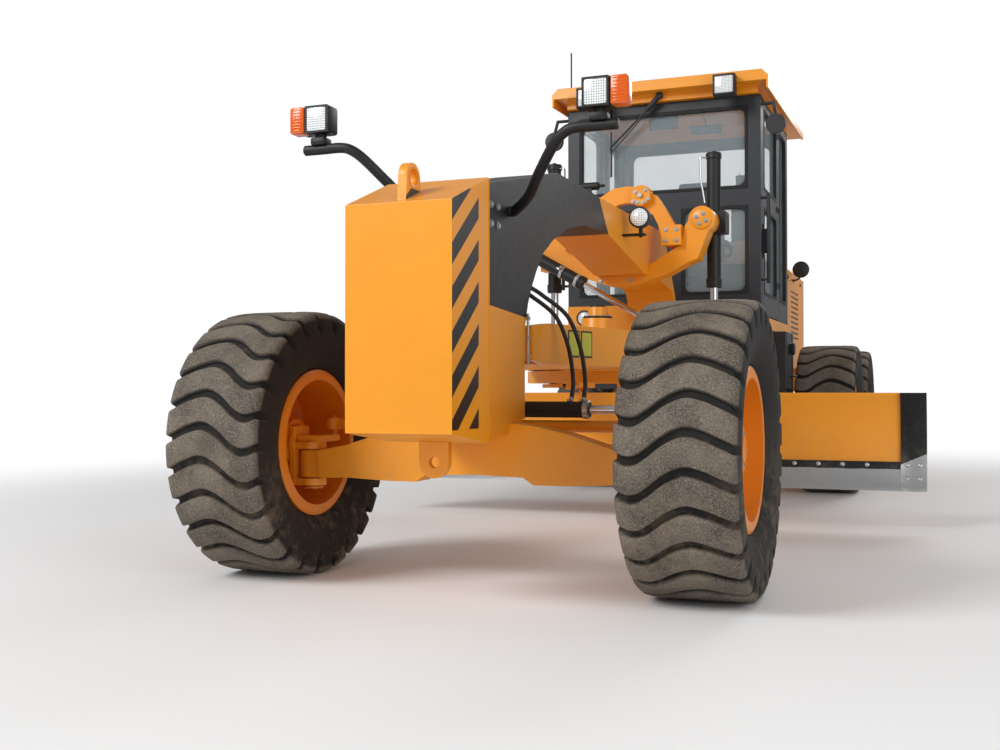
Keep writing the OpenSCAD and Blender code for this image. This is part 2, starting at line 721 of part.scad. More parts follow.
module lift_barrel(side)
    on_side(side) at_frame() color(black) difference() {
        union() {
            z_pin(lift_r, lift_x, lift_y, lift_low, lift_top);
            block([yoke[0] - 45, saddle_y + saddle_d + gap, yoke[1] - 70],
                [lift_x + 90, lift_y + 66, yoke[1] + 70]);
            y_pin(28, yoke[0], saddle_y + 4, saddle_y + saddle_d + gap + 1, yoke[1]);
        }
        z_pin(lift_rod_r + pin_fit, lift_x, lift_y, lift_low - 1, lift_top - 15);
    }

module lift_rod(side)
    on_side(side) at_frame() color(chrome) {
        z_pin(lift_rod_r, lift_x, lift_y, 1250, 2140);
        z_pin(40, lift_x, lift_y, 1200, 1262);
    }

module knuckle(side) {
    low = eye_z - eye_h / 2 - gap;
    top = eye_z + eye_h / 2 + gap;
    on_side(side) at_frame() color(paint) {
        z_pin(king_r, king_x, 0, low - 33, top + 39);
        for (z = [low - 34, top]) {
            z_pin(king_r + 32, king_x, 0, z, z + 34);
            block([king_x, -60, z], [king_x + 80, 60, z + 34]);
        }
        block([king_x + king_r + 34, -70, low - 34], [track / 2 - hub_in - gap, 70, 715]);
        spindle(0, king_x + 70);
        top_plate(top + 33, top + 64, [[king_x + 60, -50], [king_x + 60, 60], [king_x + 34, arm_y],
            [king_x, arm_y + 36], [king_x - 34, arm_y], [king_x - 60, 40], [king_x - 60, -40]]);
        z_pin(arm_pin_r, king_x, arm_y, top + 63, tie_z + 28);
    }
}

module tie_rod()
    at_frame() color(paint) difference() {
        union() {
            x_pin(tie_r, -king_x, king_x, arm_y, tie_z);
            both_sides() z_pin(40, king_x, arm_y, tie_z - 28, tie_z + 28);
            z_pin(34, tie_lug_x, arm_y, tie_z - 34, steer_z - 23 - gap);
        }
        both_sides() z_pin(arm_pin_r + pin_fit, king_x, arm_y, tie_z - 40, tie_z + 40);
    }

// Blade gear

// Side outline of the drawbar: [y, z]
drawbar_side = [[250, drawbar_z + 20], [250, drawbar_z + drawbar_h - 20],
    [420, drawbar_z + drawbar_h], [1500, drawbar_z + drawbar_h], [2000, drawbar_z + 120],
    [2960, drawbar_z + 120], [2960, drawbar_z], [400, drawbar_z]];
// Top outline of the left side plate: [x, y]
drawbar_left = [[105, 270], [162, 270], [500, 1617], [500, 2960], [460, 2960], [460, 1627], [122, 300]];

module drawbar_ball() at_frame() color(steel) translate([0, ball_y, ball_z]) sphere(r = ball_r);

module drawbar() {
    ring_in = circle_r - circle_w - 110;
    shoe_out = circle_r - circle_w - gap;
    at_frame() color(paint) {
        both_sides() intersection() {
            top_plate(drawbar_z, drawbar_z + drawbar_h, drawbar_left);
            side_plate(0, 700, drawbar_side);
        }
        difference() {
            block([-106, 262, ball_z - 78], [106, 345, ball_z + 78]);
            translate([0, ball_y, ball_z]) sphere(r = ball_r + seat);
        }
        difference() {
            union() {
                translate([0, circle_y, drawbar_z]) cylinder(r = circle_r, h = 30, $fn = 96);
                top_plate(drawbar_z, drawbar_z + 30, [[-130, 340], [130, 340], [460, 1640], [480, 2100],
                    [-480, 2100], [-460, 1640]]);
            }
            translate([0, circle_y, drawbar_z - 1]) cylinder(r = ring_in, h = 32, $fn = 96);
        }
        for (a = [45 : 90 : 315]) translate([0, circle_y, 0]) rotate([0, 0, a]) {
            block([shoe_out - 40, -60, circle_z - gap - 24], [shoe_out, 60, drawbar_z + 1]);
            block([shoe_out - 40, -60, circle_z - gap - 24], [shoe_out + 46, 60, circle_z - gap]);
        }
        z_pin(100, 0, 1910, drawbar_z + 29, 1330);
        z_pin(60, 0, 1910, 1329, 1400);
        both_sides() {
            block([499, lift_y - 60, 1050], [lift_x + 60, lift_y + 60, 1115]);
            translate([lift_x, lift_y, 1150]) sphere(r = 45);
        }
        block([shift_eye[0] - 60, shift_y - 50, drawbar_z + 29], [shift_eye[0] + 61, shift_y + 50, 1138]);
    }
}

// Side outline of an arm that hangs from the circle: [y, z]
blade_arm = [[2745, circle_z + 1], [3060, circle_z + 1], [3140, 850], [3140, 370], [3100, 330],
    [3000, 330], [2975, 360], [2975, 420], [3055, 480], [3055, circle_z - 42], [2745, circle_z - 42]];
arm_x0 = 430;
arm_t = 50;

module blade_circle()
    at_frame() color(paint) {
        difference() {
            translate([0, circle_y, circle_z]) cylinder(r = circle_r, h = circle_t, $fn = 96);
            translate([0, circle_y, circle_z - 1])
                cylinder(r = circle_r - circle_w, h = circle_t + 2, $fn = 96);
            for (a = [0 : 7.5 : 352.5]) translate([0, circle_y, 0]) rotate([0, 0, a])
                block([circle_r - circle_w - 10, -16, circle_z - 1], [circle_r - circle_w + 24, 16, circle_z + circle_t + 1]);
        }
        both_sides() {
            side_plate(arm_x0, arm_x0 + arm_t, blade_arm);
            x_pin(tilt_r, arm_x0 - 46, arm_x0 + 1, tilt_y, tilt_z);
        }
    }

// Slide bars on the blade's back: height of each one's lower face
slide_zs = [395, 745];
slide_y = blade_y + 120;
carrier_t = 40;
ram_z = 600;
ram_back_y = 2990;

module blade_carrier()
    at_frame() color(paint) {
        difference() {
            both_sides() side_plate(arm_x0 - 5 - carrier_t, arm_x0 - 5, [
                [blade_y + 95, slide_zs[0] - gap - 30], [tilt_y + 40, slide_zs[0] - gap - 40],
                [tilt_y + 40, slide_zs[1] + slide_h + gap + 30],
                [blade_y + 85, slide_zs[1] + slide_h + gap + 30],
                [blade_y + 85, slide_zs[1] + slide_h + gap], [slide_y + gap, slide_zs[1] + slide_h + gap],
                [slide_y + gap, slide_zs[0] - gap], [blade_y + 95, slide_zs[0] - gap]]);
            both_sides() x_pin(tilt_r + pin_fit, arm_x0 - 60, arm_x0, tilt_y, tilt_z);
            x_pin(32 - 12 + pin_fit, -719, 500, ram_back_y, ram_z);
        }
        x_pin(30, -arm_x0 + 6, arm_x0 - 6, tilt_y + 5, 500);
        difference() {
            x_pin(32, -740, 400, ram_back_y, ram_z);
            x_pin(20 + pin_fit, -720, 401, ram_back_y, ram_z);
        }
    }

blade_mid_z = (plate_low + plate_top) / 2;
blade_half_h = (plate_top - plate_low) / 2;
blade_arc_r = (blade_half_h * blade_half_h + blade_sag * blade_sag) / (2 * blade_sag);
blade_arc_y = blade_y + blade_sag - blade_arc_r;

// A curved plate along the blade: its inner radius, thickness, height range and length range
module curved_plate(r, t, z0, z1, x0, x1)
    intersection() {
        difference() {
            x_pin(r + t, x0, x1, blade_arc_y, blade_mid_z, $fn = 96);
            x_pin(r, x0 - 1, x1 + 1, blade_arc_y, blade_mid_z, $fn = 96);
        }
        block([x0 - 2, blade_arc_y + 100, z0], [x1 + 2, blade_arc_y + r + t + 10, z1]);
    }

module moldboard() {
    half = blade_l / 2 - end_w - seat;
    at_frame() color(paint) {
        curved_plate(blade_arc_r, blade_t, plate_low, plate_top, -half, half);
        for (z = slide_zs) block([-1500, slide_y - 62, z], [1500, slide_y, z + slide_h]);
        block([1380, blade_y + blade_sag + blade_t / 2, ram_z - 40],
            [1420, ram_back_y + 40, ram_z + 40]);
        x_pin(20, -200, 1381, ram_back_y, ram_z);
    }
}

module cutting_edge() {
    half = blade_l / 2 - end_w;
    at_frame() color(steel) {
        curved_plate(blade_arc_r - edge_t - seat, edge_t, edge_low, edge_top, -half, half);
        both_sides() curved_plate(blade_arc_r - edge_t - seat, edge_t + blade_t, edge_low, plate_top,
            half + seat, blade_l / 2);
    }
}

// Cylinder that holds the drawbar sideways

shift_v = (shift_eye - shift_pin) / norm(shift_eye - shift_pin);
function on_shift(s) = [shift_pin[0] + s * shift_v[0], shift_y, shift_pin[1] + s * shift_v[1]];

module shift_trunnion()
    at_frame() color(steel) y_pin(24, shift_pin[0], saddle_y - 2, saddle_y + 94, shift_pin[1]);

module shift_barrel()
    at_frame() color(black) difference() {
        bar(on_shift(-670), on_shift(300), shift_r);
        bar(on_shift(-650), on_shift(280), shift_piston_r + pin_fit);
        bar(on_shift(279), on_shift(301), shift_rod_r + pin_fit);
    }

module shift_piston()
    at_frame() color(steel) difference() {
        bar(on_shift(-45), on_shift(5), shift_piston_r);
        bar(on_shift(-46), on_shift(6), shift_rod_r + pin_fit);
    }

module shift_rod()
    at_frame() color(chrome) {
        bar(on_shift(-245), on_shift(norm(shift_eye - shift_pin)), shift_rod_r);
        y_pin(45, shift_eye[0], shift_y - 25, shift_y + 25, shift_eye[1]);
    }

// Cylinders that bend the frame

bend_v = (bend_front - bend_rear) / norm(bend_front - bend_rear);
function on_bend(s) = [bend_rear[0] + s * bend_v[0], bend_rear[1] + s * bend_v[1], bend_z];

module bend_barrel(side)
    on_side(side) at_frame() color(black) difference() {
        union() {
            bar(on_bend(60), on_bend(560), bend_r);
            bar(on_bend(30), on_bend(61), 21);
            z_pin(38, bend_rear[0], bend_rear[1], bend_z - 24, bend_z + 24);
        }
        z_pin(22 + pin_fit, bend_rear[0], bend_rear[1], bend_z - 60, bend_z + 60);
        bar(on_bend(90), on_bend(561), 20 + pin_fit);
    }

module bend_rod(side)
    on_side(side) at_frame() color(chrome) {
        bar(on_bend(320), on_bend(norm(bend_front - bend_rear) - 20), 20);
        z_pin(36, bend_front[0], bend_front[1], bend_z - 24, bend_z + 24);
    }

rear_frame();
tandem_axle();
engine_block();
engine_hood();
exhaust_stack();
side_tanks();
cab_base();
cab_front();
cab_rear();
cab_roof();
cab_glass();
cab_seat();
cab_controls();
cab_fittings();
door(1);  // door_left
door(-1);  // door_right
front_frame();
weight_box();
head_lamps();
lift_saddle();
front_axle();
frame_hoses();
steer_barrel();
knuckle(1);  // knuckle_left
knuckle(-1);  // knuckle_right
tie_rod();
steer_rod();
drawbar_ball();
drawbar();
lift_barrel(1);  // lift_barrel_left
lift_rod(1);  // lift_rod_left
lift_barrel(-1);  // lift_barrel_right
lift_rod(-1);  // lift_rod_right
blade_circle();
blade_carrier();
moldboard();
cutting_edge();
shift_trunnion();
shift_barrel();
shift_piston();
shift_rod();
bend_barrel(1);  // bend_barrel_left
bend_rod(1);  // bend_rod_left
bend_barrel(-1);  // bend_barrel_right
bend_rod(-1);  // bend_rod_right
rim(1, 0);  // rim_front_left
tyre(1, 0);  // tyre_front_left
rim(-1, 0);  // rim_front_right
tyre(-1, 0);  // tyre_front_right
rim(1, mid_wheel_y);  // rim_mid_left
tyre(1, mid_wheel_y);  // tyre_mid_left
rim(-1, mid_wheel_y);  // rim_mid_right
tyre(-1, mid_wheel_y);  // tyre_mid_right
rim(1, rear_wheel_y);  // rim_rear_left
tyre(1, rear_wheel_y);  // tyre_rear_left
rim(-1, rear_wheel_y);  // rim_rear_right
tyre(-1, rear_wheel_y);  // tyre_rear_right
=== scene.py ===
import math

import bmesh
import bpy
from mathutils import Matrix, Vector


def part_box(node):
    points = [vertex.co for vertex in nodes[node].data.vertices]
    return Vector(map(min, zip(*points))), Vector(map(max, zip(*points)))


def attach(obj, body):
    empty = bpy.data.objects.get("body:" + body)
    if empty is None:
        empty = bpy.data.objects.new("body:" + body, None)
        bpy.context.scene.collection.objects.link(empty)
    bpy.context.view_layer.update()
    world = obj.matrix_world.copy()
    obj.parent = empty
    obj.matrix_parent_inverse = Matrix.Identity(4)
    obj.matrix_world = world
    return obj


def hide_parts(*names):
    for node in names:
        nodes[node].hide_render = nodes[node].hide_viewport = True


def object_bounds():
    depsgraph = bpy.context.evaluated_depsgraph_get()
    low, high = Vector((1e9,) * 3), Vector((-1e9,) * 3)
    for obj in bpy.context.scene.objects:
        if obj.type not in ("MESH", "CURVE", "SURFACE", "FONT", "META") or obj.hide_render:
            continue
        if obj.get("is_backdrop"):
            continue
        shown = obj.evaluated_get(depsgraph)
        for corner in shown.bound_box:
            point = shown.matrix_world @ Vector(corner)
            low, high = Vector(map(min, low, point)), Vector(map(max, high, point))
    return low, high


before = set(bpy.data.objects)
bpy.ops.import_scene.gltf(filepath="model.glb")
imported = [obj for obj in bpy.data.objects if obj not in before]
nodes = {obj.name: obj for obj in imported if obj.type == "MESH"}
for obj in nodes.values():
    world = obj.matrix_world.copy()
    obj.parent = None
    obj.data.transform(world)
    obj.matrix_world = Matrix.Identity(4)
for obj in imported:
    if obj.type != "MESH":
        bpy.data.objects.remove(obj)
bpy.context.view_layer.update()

# Rear frame: two welded box rails with cross plates, a floor under the hood and the joint to the front
# frame. The joint's pin is held by a round cap above and below, each with six bolts. The paint of such
# machines is a warm orange yellow, with black on the hydraulics and on part of the front frame.
YELLOW, BLACK = "#f29b14", "#0d0e10"
FRONT_AXLE = -3.75


class Val:
    """A node's output socket that can be used in sums."""

    tree = None

    def __init__(self, socket):
        self.socket = socket

    @staticmethod
    def node(kind, settings=None, values=None, out=0):
        made = Val.tree.nodes.new(kind)
        for key, value in (settings or {}).items():
            setattr(made, key, value)
        for key, value in (values or {}).items():
            Val.put(made.inputs[key], value)
        return Val(made.outputs[out])

    @staticmethod
    def put(socket, value):
        if isinstance(value, Val):
            Val.tree.links.new(value.socket, socket)
        else:
            socket.default_value = value

    @staticmethod
    def math(how, *terms, clamp=False):
        settings = {"operation": how, "use_clamp": clamp}
        return Val.node("ShaderNodeMath", settings, dict(enumerate(terms)))

    def __add__(self, other):
        return Val.math("ADD", self, other)

    __radd__ = __add__

    def __sub__(self, other):
        return Val.math("SUBTRACT", self, other)

    def __rsub__(self, other):
        return Val.math("SUBTRACT", other, self)

    def __mul__(self, other):
        return Val.math("MULTIPLY", self, other)

    __rmul__ = __mul__

    def __truediv__(self, other):
        return Val.math("DIVIDE", self, other)

    def __gt__(self, other):
        return Val.math("GREATER_THAN", self, other)

    def __lt__(self, other):
        return Val.math("LESS_THAN", self, other)

    def frac(self):
        return Val.math("FRACT", self)

    def size(self):
        return Val.math("ABSOLUTE", self)

    def ramp(self, low, high):
        """0 below low, 1 above high, smooth between them."""
        return Val.node("ShaderNodeMapRange", {"interpolation_type": "SMOOTHSTEP"}, {0: self, 1: low, 2: high,
                                                                                     3: 0.0, 4: 1.0})


def hex_colour(text, alpha=1.0):
    """An #rrggbb colour as the linear values that a shader takes."""
    parts = [int(text[i:i + 2], 16) / 255 for i in (1, 3, 5)]
    return tuple(p / 12.92 if p < 0.04045 else ((p + 0.055) / 1.055) ** 2.4 for p in parts) + (alpha,)


def mix(factor, a, b):
    return Val.node("ShaderNodeMix", {"data_type": "RGBA"}, {0: factor, 6: a, 7: b}, out=2)


def place():
    """The place on the object as separate x, y, z values, in metres."""
    where = Val.node("ShaderNodeTexCoord", out=3)
    return where, [Val.node("ShaderNodeSeparateXYZ", None, {0: where}, out=i) for i in range(3)]


def facing():
    normal = Val.node("ShaderNodeNewGeometry", out=1)
    return [Val.node("ShaderNodeSeparateXYZ", None, {0: normal}, out=i) for i in range(3)]


def noise(where, scale, detail=3.0, roughness=0.55):
    return Val.node("ShaderNodeTexNoise", None, {"Vector": where, "Scale": scale, "Detail": detail,
                                                 "Roughness": roughness})


DUST = hex_colour("#8d7d68")


def material(name, colour, rough=0.5, metal=0.0, coat=0.0, dust=0.3, low_dust=0.3, vary=0.12, rough_vary=0.12,
             bump=0.0, bump_scale=60.0, alpha=1.0, pattern=None, glow=0.0):
    """A finish with uneven colour and gloss, and dust on what faces up or is near the ground."""
    made = bpy.data.materials.new(name)
    made.use_nodes = True
    Val.tree = made.node_tree
    shader = made.node_tree.nodes["Principled BSDF"]
    where, (x, y, z) = place()
    nx, ny, nz = facing()
    base = hex_colour(colour)
    if pattern:
        base = pattern(where, (x, y, z), (nx, ny, nz))
    cloud = noise(where, 2.3)
    fine = noise(where, 23.0, 5.0, 0.65)
    dark = Val.math("MULTIPLY", cloud - 0.5, 2 * vary)
    shaded = Val.node("ShaderNodeHueSaturation", None,
                      {"Color": base, "Value": 1.0 + dark + (fine - 0.5) * vary})
    lying = nz.ramp(0.35, 0.95) * fine.ramp(0.38, 0.66) * dust
    splash = (0.95 - z).ramp(0.0, 0.9) * (cloud + fine).ramp(0.9, 1.25) * low_dust
    cover = Val.math("MAXIMUM", lying, splash)
    Val.put(shader.inputs["Base Color"], mix(cover, shaded, DUST))
    Val.put(shader.inputs["Roughness"], Val.math("ADD", rough + (fine - 0.5) * (2 * rough_vary), cover * 0.35,
                                                 clamp=True))
    shader.inputs["Metallic"].default_value = metal
    shader.inputs["Coat Weight"].default_value = coat
    shader.inputs["Coat Roughness"].default_value = 0.15
    shader.inputs["Alpha"].default_value = alpha
    if glow:
        Val.put(shader.inputs["Emission Color"], base)
        shader.inputs["Emission Strength"].default_value = glow
    if bump:
        grain = noise(where, bump_scale, 4.0)
        rise = Val.node("ShaderNodeBump", None, {"Strength": bump, "Distance": 0.004, "Height": grain})
        Val.put(shader.inputs["Normal"], rise)
    return made


class Shape:
    """Gathers forms into one piece. Lengths are metres, counted back from the front axle."""

    def __init__(self):
        self.mesh = bmesh.new()

    def block(self, low, high, bevel=0.0, turn=None):
        """A block by two corners, with rounded edges, turned about its middle by a matrix."""
        low, high = Vector(low), Vector(high)
        spot = Matrix.Translation((low + high) / 2)
        if turn:
            spot = spot @ turn.to_4x4()
        made = bmesh.ops.create_cube(self.mesh, size=1.0, matrix=spot @ Matrix.Diagonal((*(high - low), 1)))
        if bevel:
            edges = list({e for v in made["verts"] for e in v.link_edges})
            bmesh.ops.bevel(self.mesh, geom=edges, offset=bevel, offset_type="OFFSET", affect="EDGES",
                            segments=2, profile=0.5, material=-1)
        return self

    def turned(self, at, axis, profile, steps=32):
        """A round form, spun about an axis from pairs of radius and way along the axis."""
        at, axis = Vector(at), Vector(axis).normalized()
        out = axis.orthogonal().normalized()
        form = bmesh.new()
        line = [form.verts.new(at + axis * way + out * r) for r, way in profile]
        edges = [form.edges.new(pair) for pair in zip(line, line[1:])]
        bmesh.ops.spin(form, geom=line + edges, cent=at, axis=axis, angle=2 * math.pi, steps=steps,
                       use_merge=True)
        bmesh.ops.remove_doubles(form, verts=form.verts, dist=0.00001)
        data = bpy.data.meshes.new("Form")
        form.to_mesh(data)
        form.free()
        self.mesh.from_mesh(data)
        bpy.data.meshes.remove(data)
        return self

    def rod(self, a, b, r, steps=20, edge=0.0015):
        """A round bar between two points, with eased ends."""
        a, b = Vector(a), Vector(b)
        far = (b - a).length
        edge = min(edge, r / 3, far / 3)
        return self.turned(a, b - a, [(0, 0), (r - edge, 0), (r, edge), (r, far - edge), (r - edge, far),
                                      (0, far)], steps)

    def bolt(self, at, axis, r):
        """A hexagon bolt head on its washer."""
        self.turned(at, axis, [(r * 1.32, -0.001), (r * 1.32, r * 0.14), (0, r * 0.14)], 20)
        return self.turned(at, axis, [(r, 0), (r, r * 0.68), (r * 0.84, r * 0.8), (0, r * 0.8)], 6)

    def stud(self, at, axis, r):
        """A nut on a threaded stud that stands out of it."""
        self.bolt(at, axis, r)
        return self.turned(at, axis, [(r * 0.5, 0), (r * 0.5, r * 1.3), (r * 0.42, r * 1.4), (0, r * 1.4)],
                           12)

    def tube(self, points, r, steps=12, per=6):
        """A hose or bent pipe along a smooth line through the points."""
        points = [Vector(p) for p in points]
        ends = [points[0] * 2 - points[1]] + points + [points[-1] * 2 - points[-2]]
        path = []
        for a, b, c, d in zip(ends, ends[1:], ends[2:], ends[3:]):
            for i in range(per):
                t = i / per
                path.append(0.5 * (2 * b + (c - a) * t + (2 * a - 5 * b + 4 * c - d) * t * t
                                   + (3 * b - a - 3 * c + d) * t ** 3))
        path.append(points[-1])
        side, places = None, []
        for i, spot in enumerate(path):
            ahead = (path[min(i + 1, len(path) - 1)] - path[max(i - 1, 0)]).normalized()
            side = ahead.orthogonal() if side is None else side - ahead * side.dot(ahead)
            side.normalize()
            stand = Matrix((side.cross(ahead), side, ahead)).transposed().to_4x4()
            places.append(Matrix.Translation(spot) @ stand)
        ring = bmesh.ops.create_circle(self.mesh, cap_ends=True, radius=r, segments=steps,
                                       matrix=places[0])["verts"]
        edges = list({e for v in ring for e in v.link_edges})
        for one, two in zip(places, places[1:]):
            made = bmesh.ops.extrude_edge_only(self.mesh, edges=edges)["geom"]
            ring = {v for v in made if isinstance(v, bmesh.types.BMVert)}
            edges = [e for e in made if isinstance(e, bmesh.types.BMEdge) and ring.issuperset(e.verts)]
            bmesh.ops.transform(self.mesh, matrix=two @ one.inverted(), verts=list(ring))
        bmesh.ops.contextual_create(self.mesh, geom=edges)
        return self

    def slab(self, outline, push):
        """A flat plate: an outline of points, extruded to its thickness."""
        face = self.mesh.faces.new([self.mesh.verts.new(p) for p in outline])
        made = bmesh.ops.extrude_face_region(self.mesh, geom=[face], use_keep_orig=True)["geom"]
        bmesh.ops.translate(self.mesh, vec=push, verts=[v for v in made if isinstance(v, bmesh.types.BMVert)])
        return self

    def surround(self, plane, a0, a1, b0, b1, near, far, width=0.02, corner=0.045):
        """A rubber frame with round inner corners in a square opening; plane is the axis that it faces."""
        def spot(a, b, depth):
            return {"x": (depth, a, b), "y": (a, depth, b)}[plane]

        loops = []
        for inset, radius in ((0.0, 0.003), (width, corner)):
            before = set(self.mesh.faces)
            left, right, low, high = a0 + inset, a1 - inset, b0 + inset, b1 - inset
            corners = ((left, low), (right, low), (right, high), (left, high))
            ends = [self.mesh.verts.new(spot(a, b, near)) for a, b in corners]
            self.mesh.faces.new(ends)
            bmesh.ops.bevel(self.mesh, geom=ends, offset=radius, offset_type="OFFSET", affect="VERTICES",
                            segments=6, profile=0.5, material=-1)
            face = [f for f in self.mesh.faces if f not in before]
            loops += [e for f in face for e in f.edges]
            bmesh.ops.delete(self.mesh, geom=face, context="FACES_ONLY")
        ring = bmesh.ops.bridge_loops(self.mesh, edges=loops)["faces"]
        made = bmesh.ops.extrude_face_region(self.mesh, geom=ring, use_keep_orig=True)["geom"]
        away = Vector(spot(0, 0, far)) - Vector(spot(0, 0, near))
        bmesh.ops.translate(self.mesh, vec=away, verts=[v for v in made if isinstance(v, bmesh.types.BMVert)])
        return self

    def done(self, name, look, body, slot, smooth=35):
        """Makes the piece, which rides on a body and takes the finish it is given as look. The slot is not
        used.
        """
        bmesh.ops.recalc_face_normals(self.mesh, faces=self.mesh.faces)
        bmesh.ops.translate(self.mesh, vec=(0, FRONT_AXLE, 0), verts=self.mesh.verts)
        data = bpy.data.meshes.new(name)
        self.mesh.to_mesh(data)
        self.mesh.free()
        made = bpy.data.objects.new(name, data)
        bpy.context.scene.collection.objects.link(made)
        data.materials.append(look)
        data.shade_smooth()
        data.set_sharp_from_angle(angle=math.radians(smooth))
        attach(made, body)
        return made


def dress(names, look, ease=0.0):
    """Gives CAD nodes their finish. Their sharp edges are eased by a few millimetres, and catch the light."""
    for name in names:
        piece = nodes[name]
        piece.data.materials.clear()
        piece.data.materials.append(look)
        if ease:
            weld = piece.modifiers.new("Weld", "WELD")
            weld.merge_threshold = 0.00005
            round_off = piece.modifiers.new("Rounded_edges", "BEVEL")
            round_off.width = ease
            round_off.segments = 2
            round_off.limit_method = "ANGLE"
            round_off.angle_limit = math.radians(50)
            round_off.harden_normals = False


paint = material("Paint", YELLOW, 0.4, coat=0.2, vary=0.07, dust=0.12, low_dust=0.25)
zinc = material("Zinc_bolts", "#b9bcbd", 0.35, metal=0.8, dust=0.3, vary=0.2)
SIDES = ((1, "left"), (-1, "right"))
X, Y, Z = (1, 0, 0), (0, 1, 0), (0, 0, 1)
IN_X, FORE, DOWN_Z = (-1, 0, 0), (0, -1, 0), (0, 0, -1)
dress(["rear_frame"], paint, 0.003)
joint_y, bolt_ring = 3.42, 0.060
joint = Shape()
for z, up in ((1.430, 1), (0.900, -1)):
    joint.turned((0, joint_y, z), (0, 0, up), [(0, 0), (0.078, 0), (0.078, 0.008), (0.074, 0.012),
                                               (0, 0.012)], 40)
    for i in range(6):
        t = math.radians(60 * i)
        joint.bolt((bolt_ring * math.cos(t), joint_y + bolt_ring * math.sin(t), z + 0.012 * up), (0, 0, up),
                   0.009)
joint.done("Joint_pin_caps", zinc, "chassis", "steel")

# Working lamps: round glasses in the two holes of the rear frame's front plate, in black plastic pots.
# Red and amber tail lamps are screwed to the plate at the rear.


def lens_glint_pattern(where, xyz, normal):
    """A clear lamp glass with a fine grid of prisms over a reflector; the white prism lines are a painted
    highlight.
    """
    x, y, z = xyz
    grid = Val.math("MINIMUM", ((x / 0.0105).frac() - 0.5).size(), ((z / 0.0105).frac() - 0.5).size())
    # Painted highlight: white lines along the prisms on a grey glass.
    return mix(grid < 0.09, hex_colour("#f1f4f4"), hex_colour("#7f868b"))


# Painted reflection: a faint glow on the lamp glasses stands in for light thrown back by their reflectors.
lamp_glass_glint_look = material("Lamp_glass_with_glint", "#c4c9c9", 0.08, coat=0.6, dust=0.1, vary=0.05, rough_vary=0.04,
                           pattern=lens_glint_pattern, glow=0.12)
plastic = material("Black_plastic", "#1d1f22", 0.5, dust=0.25, bump=0.12, bump_scale=200.0)
red_glass = material("Red_glass", "#b3140f", 0.18, coat=0.6, dust=0.15, vary=0.06)
amber_glass = material("Amber_glass", "#e0600a", 0.18, coat=0.3, dust=0.15, vary=0.06)

lamp_x, lamp_z = 0.59, 1.44
step_lamps, rims_of_lamps = Shape(), Shape()
for s, side in SIDES:
    step_lamps.turned((lamp_x * s, 3.534, lamp_z), FORE, [(0.052, -0.004), (0.05, 0.003), (0.036, 0.011),
                                                          (0, 0.015)], 32)
    rims_of_lamps.turned((lamp_x * s, 3.559, lamp_z), FORE, [(0, 0), (0.05, 0), (0.0605, 0.014),
                                                             (0.0605, 0.034), (0.053, 0.034), (0.052, 0.02),
                                                             (0, 0.02)], 32)
step_lamps.done("Step_lamp_glass", lamp_glass_glint_look, "chassis", "clear")
rims_of_lamps.done("Step_lamp_housings", plastic, "chassis", "plastic")
for look, near, far, label in ((red_glass, 0.42, 0.494, "red"), (amber_glass, 0.346, 0.412, "amber")):
    tail = Shape()
    for s, side in SIDES:
        tail.block((min(near * s, far * s), 8.268, 1.088), (max(near * s, far * s), 8.284, 1.162), 0.004)
    tail.done("Tail_lamps_" + label, look, "chassis", "plastic")

# Tandem axle: a round housing across the machine with a closed chain case at each end. Bolted covers
# close the cases on top and behind each wheel's shaft, and a ring of bolts joins them to the housing.
dress(["tandem_axle"], paint, 0.004)
MID_Y, REAR_Y, WHEEL_Z = 5.51, 7.05, 0.638
housing_y, housing_z, housing_ring, cover_ring = 6.28, 0.668, 0.172, 0.108
case_top = 0.809
covers, cover_bolts = Shape(), Shape()
for s, side in SIDES:
    for y0 in (5.72, 6.44):
        covers.block((min(s * 0.645, s * 0.755), y0, 0.801), (max(s * 0.645, s * 0.755), y0 + 0.40, case_top),
                     0.002)
        for i in range(4):
            for x in (0.66, 0.74):
                cover_bolts.bolt((s * x, y0 + 0.03 + i * 0.1133, case_top), Z, 0.009)
    for y in (MID_Y, REAR_Y):
        covers.turned((s * 0.627, y, WHEEL_Z), (-s, 0, 0), [(0, 0), (0.128, 0), (0.128, 0.012),
                                                            (0.122, 0.016), (0.06, 0.016), (0.055, 0.026),
                                                            (0, 0.028)], 48)
        for i in range(10):
            t = math.radians(36 * i)
            cover_bolts.bolt((s * 0.611, y + cover_ring * math.cos(t), WHEEL_Z + cover_ring * math.sin(t)),
                             (-s, 0, 0), 0.010)
    for i in range(14):
        t = 2 * math.pi * (i + 0.5) / 14
        cover_bolts.bolt((s * 0.130, housing_y + housing_ring * math.cos(t),
                          housing_z + housing_ring * math.sin(t)), (s, 0, 0), 0.010)
covers.done("Tandem_covers", paint, "chassis", "paint")
cover_bolts.done("Tandem_bolts", zinc, "chassis", "steel")

# Engine hood: folded sheet with pressed louvres and a rear grille, with painted shade in their depth. Turn
# latches hold its side panels. Lifting handles, two filler caps and a round mirror stand on it.


def hood_shade_pattern(where, xyz, normal):
    """Painted shade: the hood's louvres, seams and rear grille are painted near-black in their depth."""
    x, y, z = xyz
    side = (x.size() < 0.5035) * (normal[0].size() > 0.9)
    back = (y > 4.39) * (y < 4.4165) * (normal[1].size() > 0.9)
    # Painted shade: the inward faces of the louvres and the rear grille are coloured near-black.
    return mix(Val.math("MAXIMUM", side, back), hex_colour(YELLOW), hex_colour("#191714"))


cab_paint = material("Cab_paint", "#23272d", 0.48, coat=0.08, dust=0.2)
black_paint = material("Black_paint", BLACK, 0.5, dust=0.14, low_dust=0.18)
hood_paint_with_shade = material("Hood_paint_with_shade", YELLOW, 0.4, coat=0.2, vary=0.07, dust=0.16, pattern=hood_shade_pattern)
dress(["engine_block"], cab_paint)
dress(["engine_hood"], hood_paint_with_shade, 0.002)

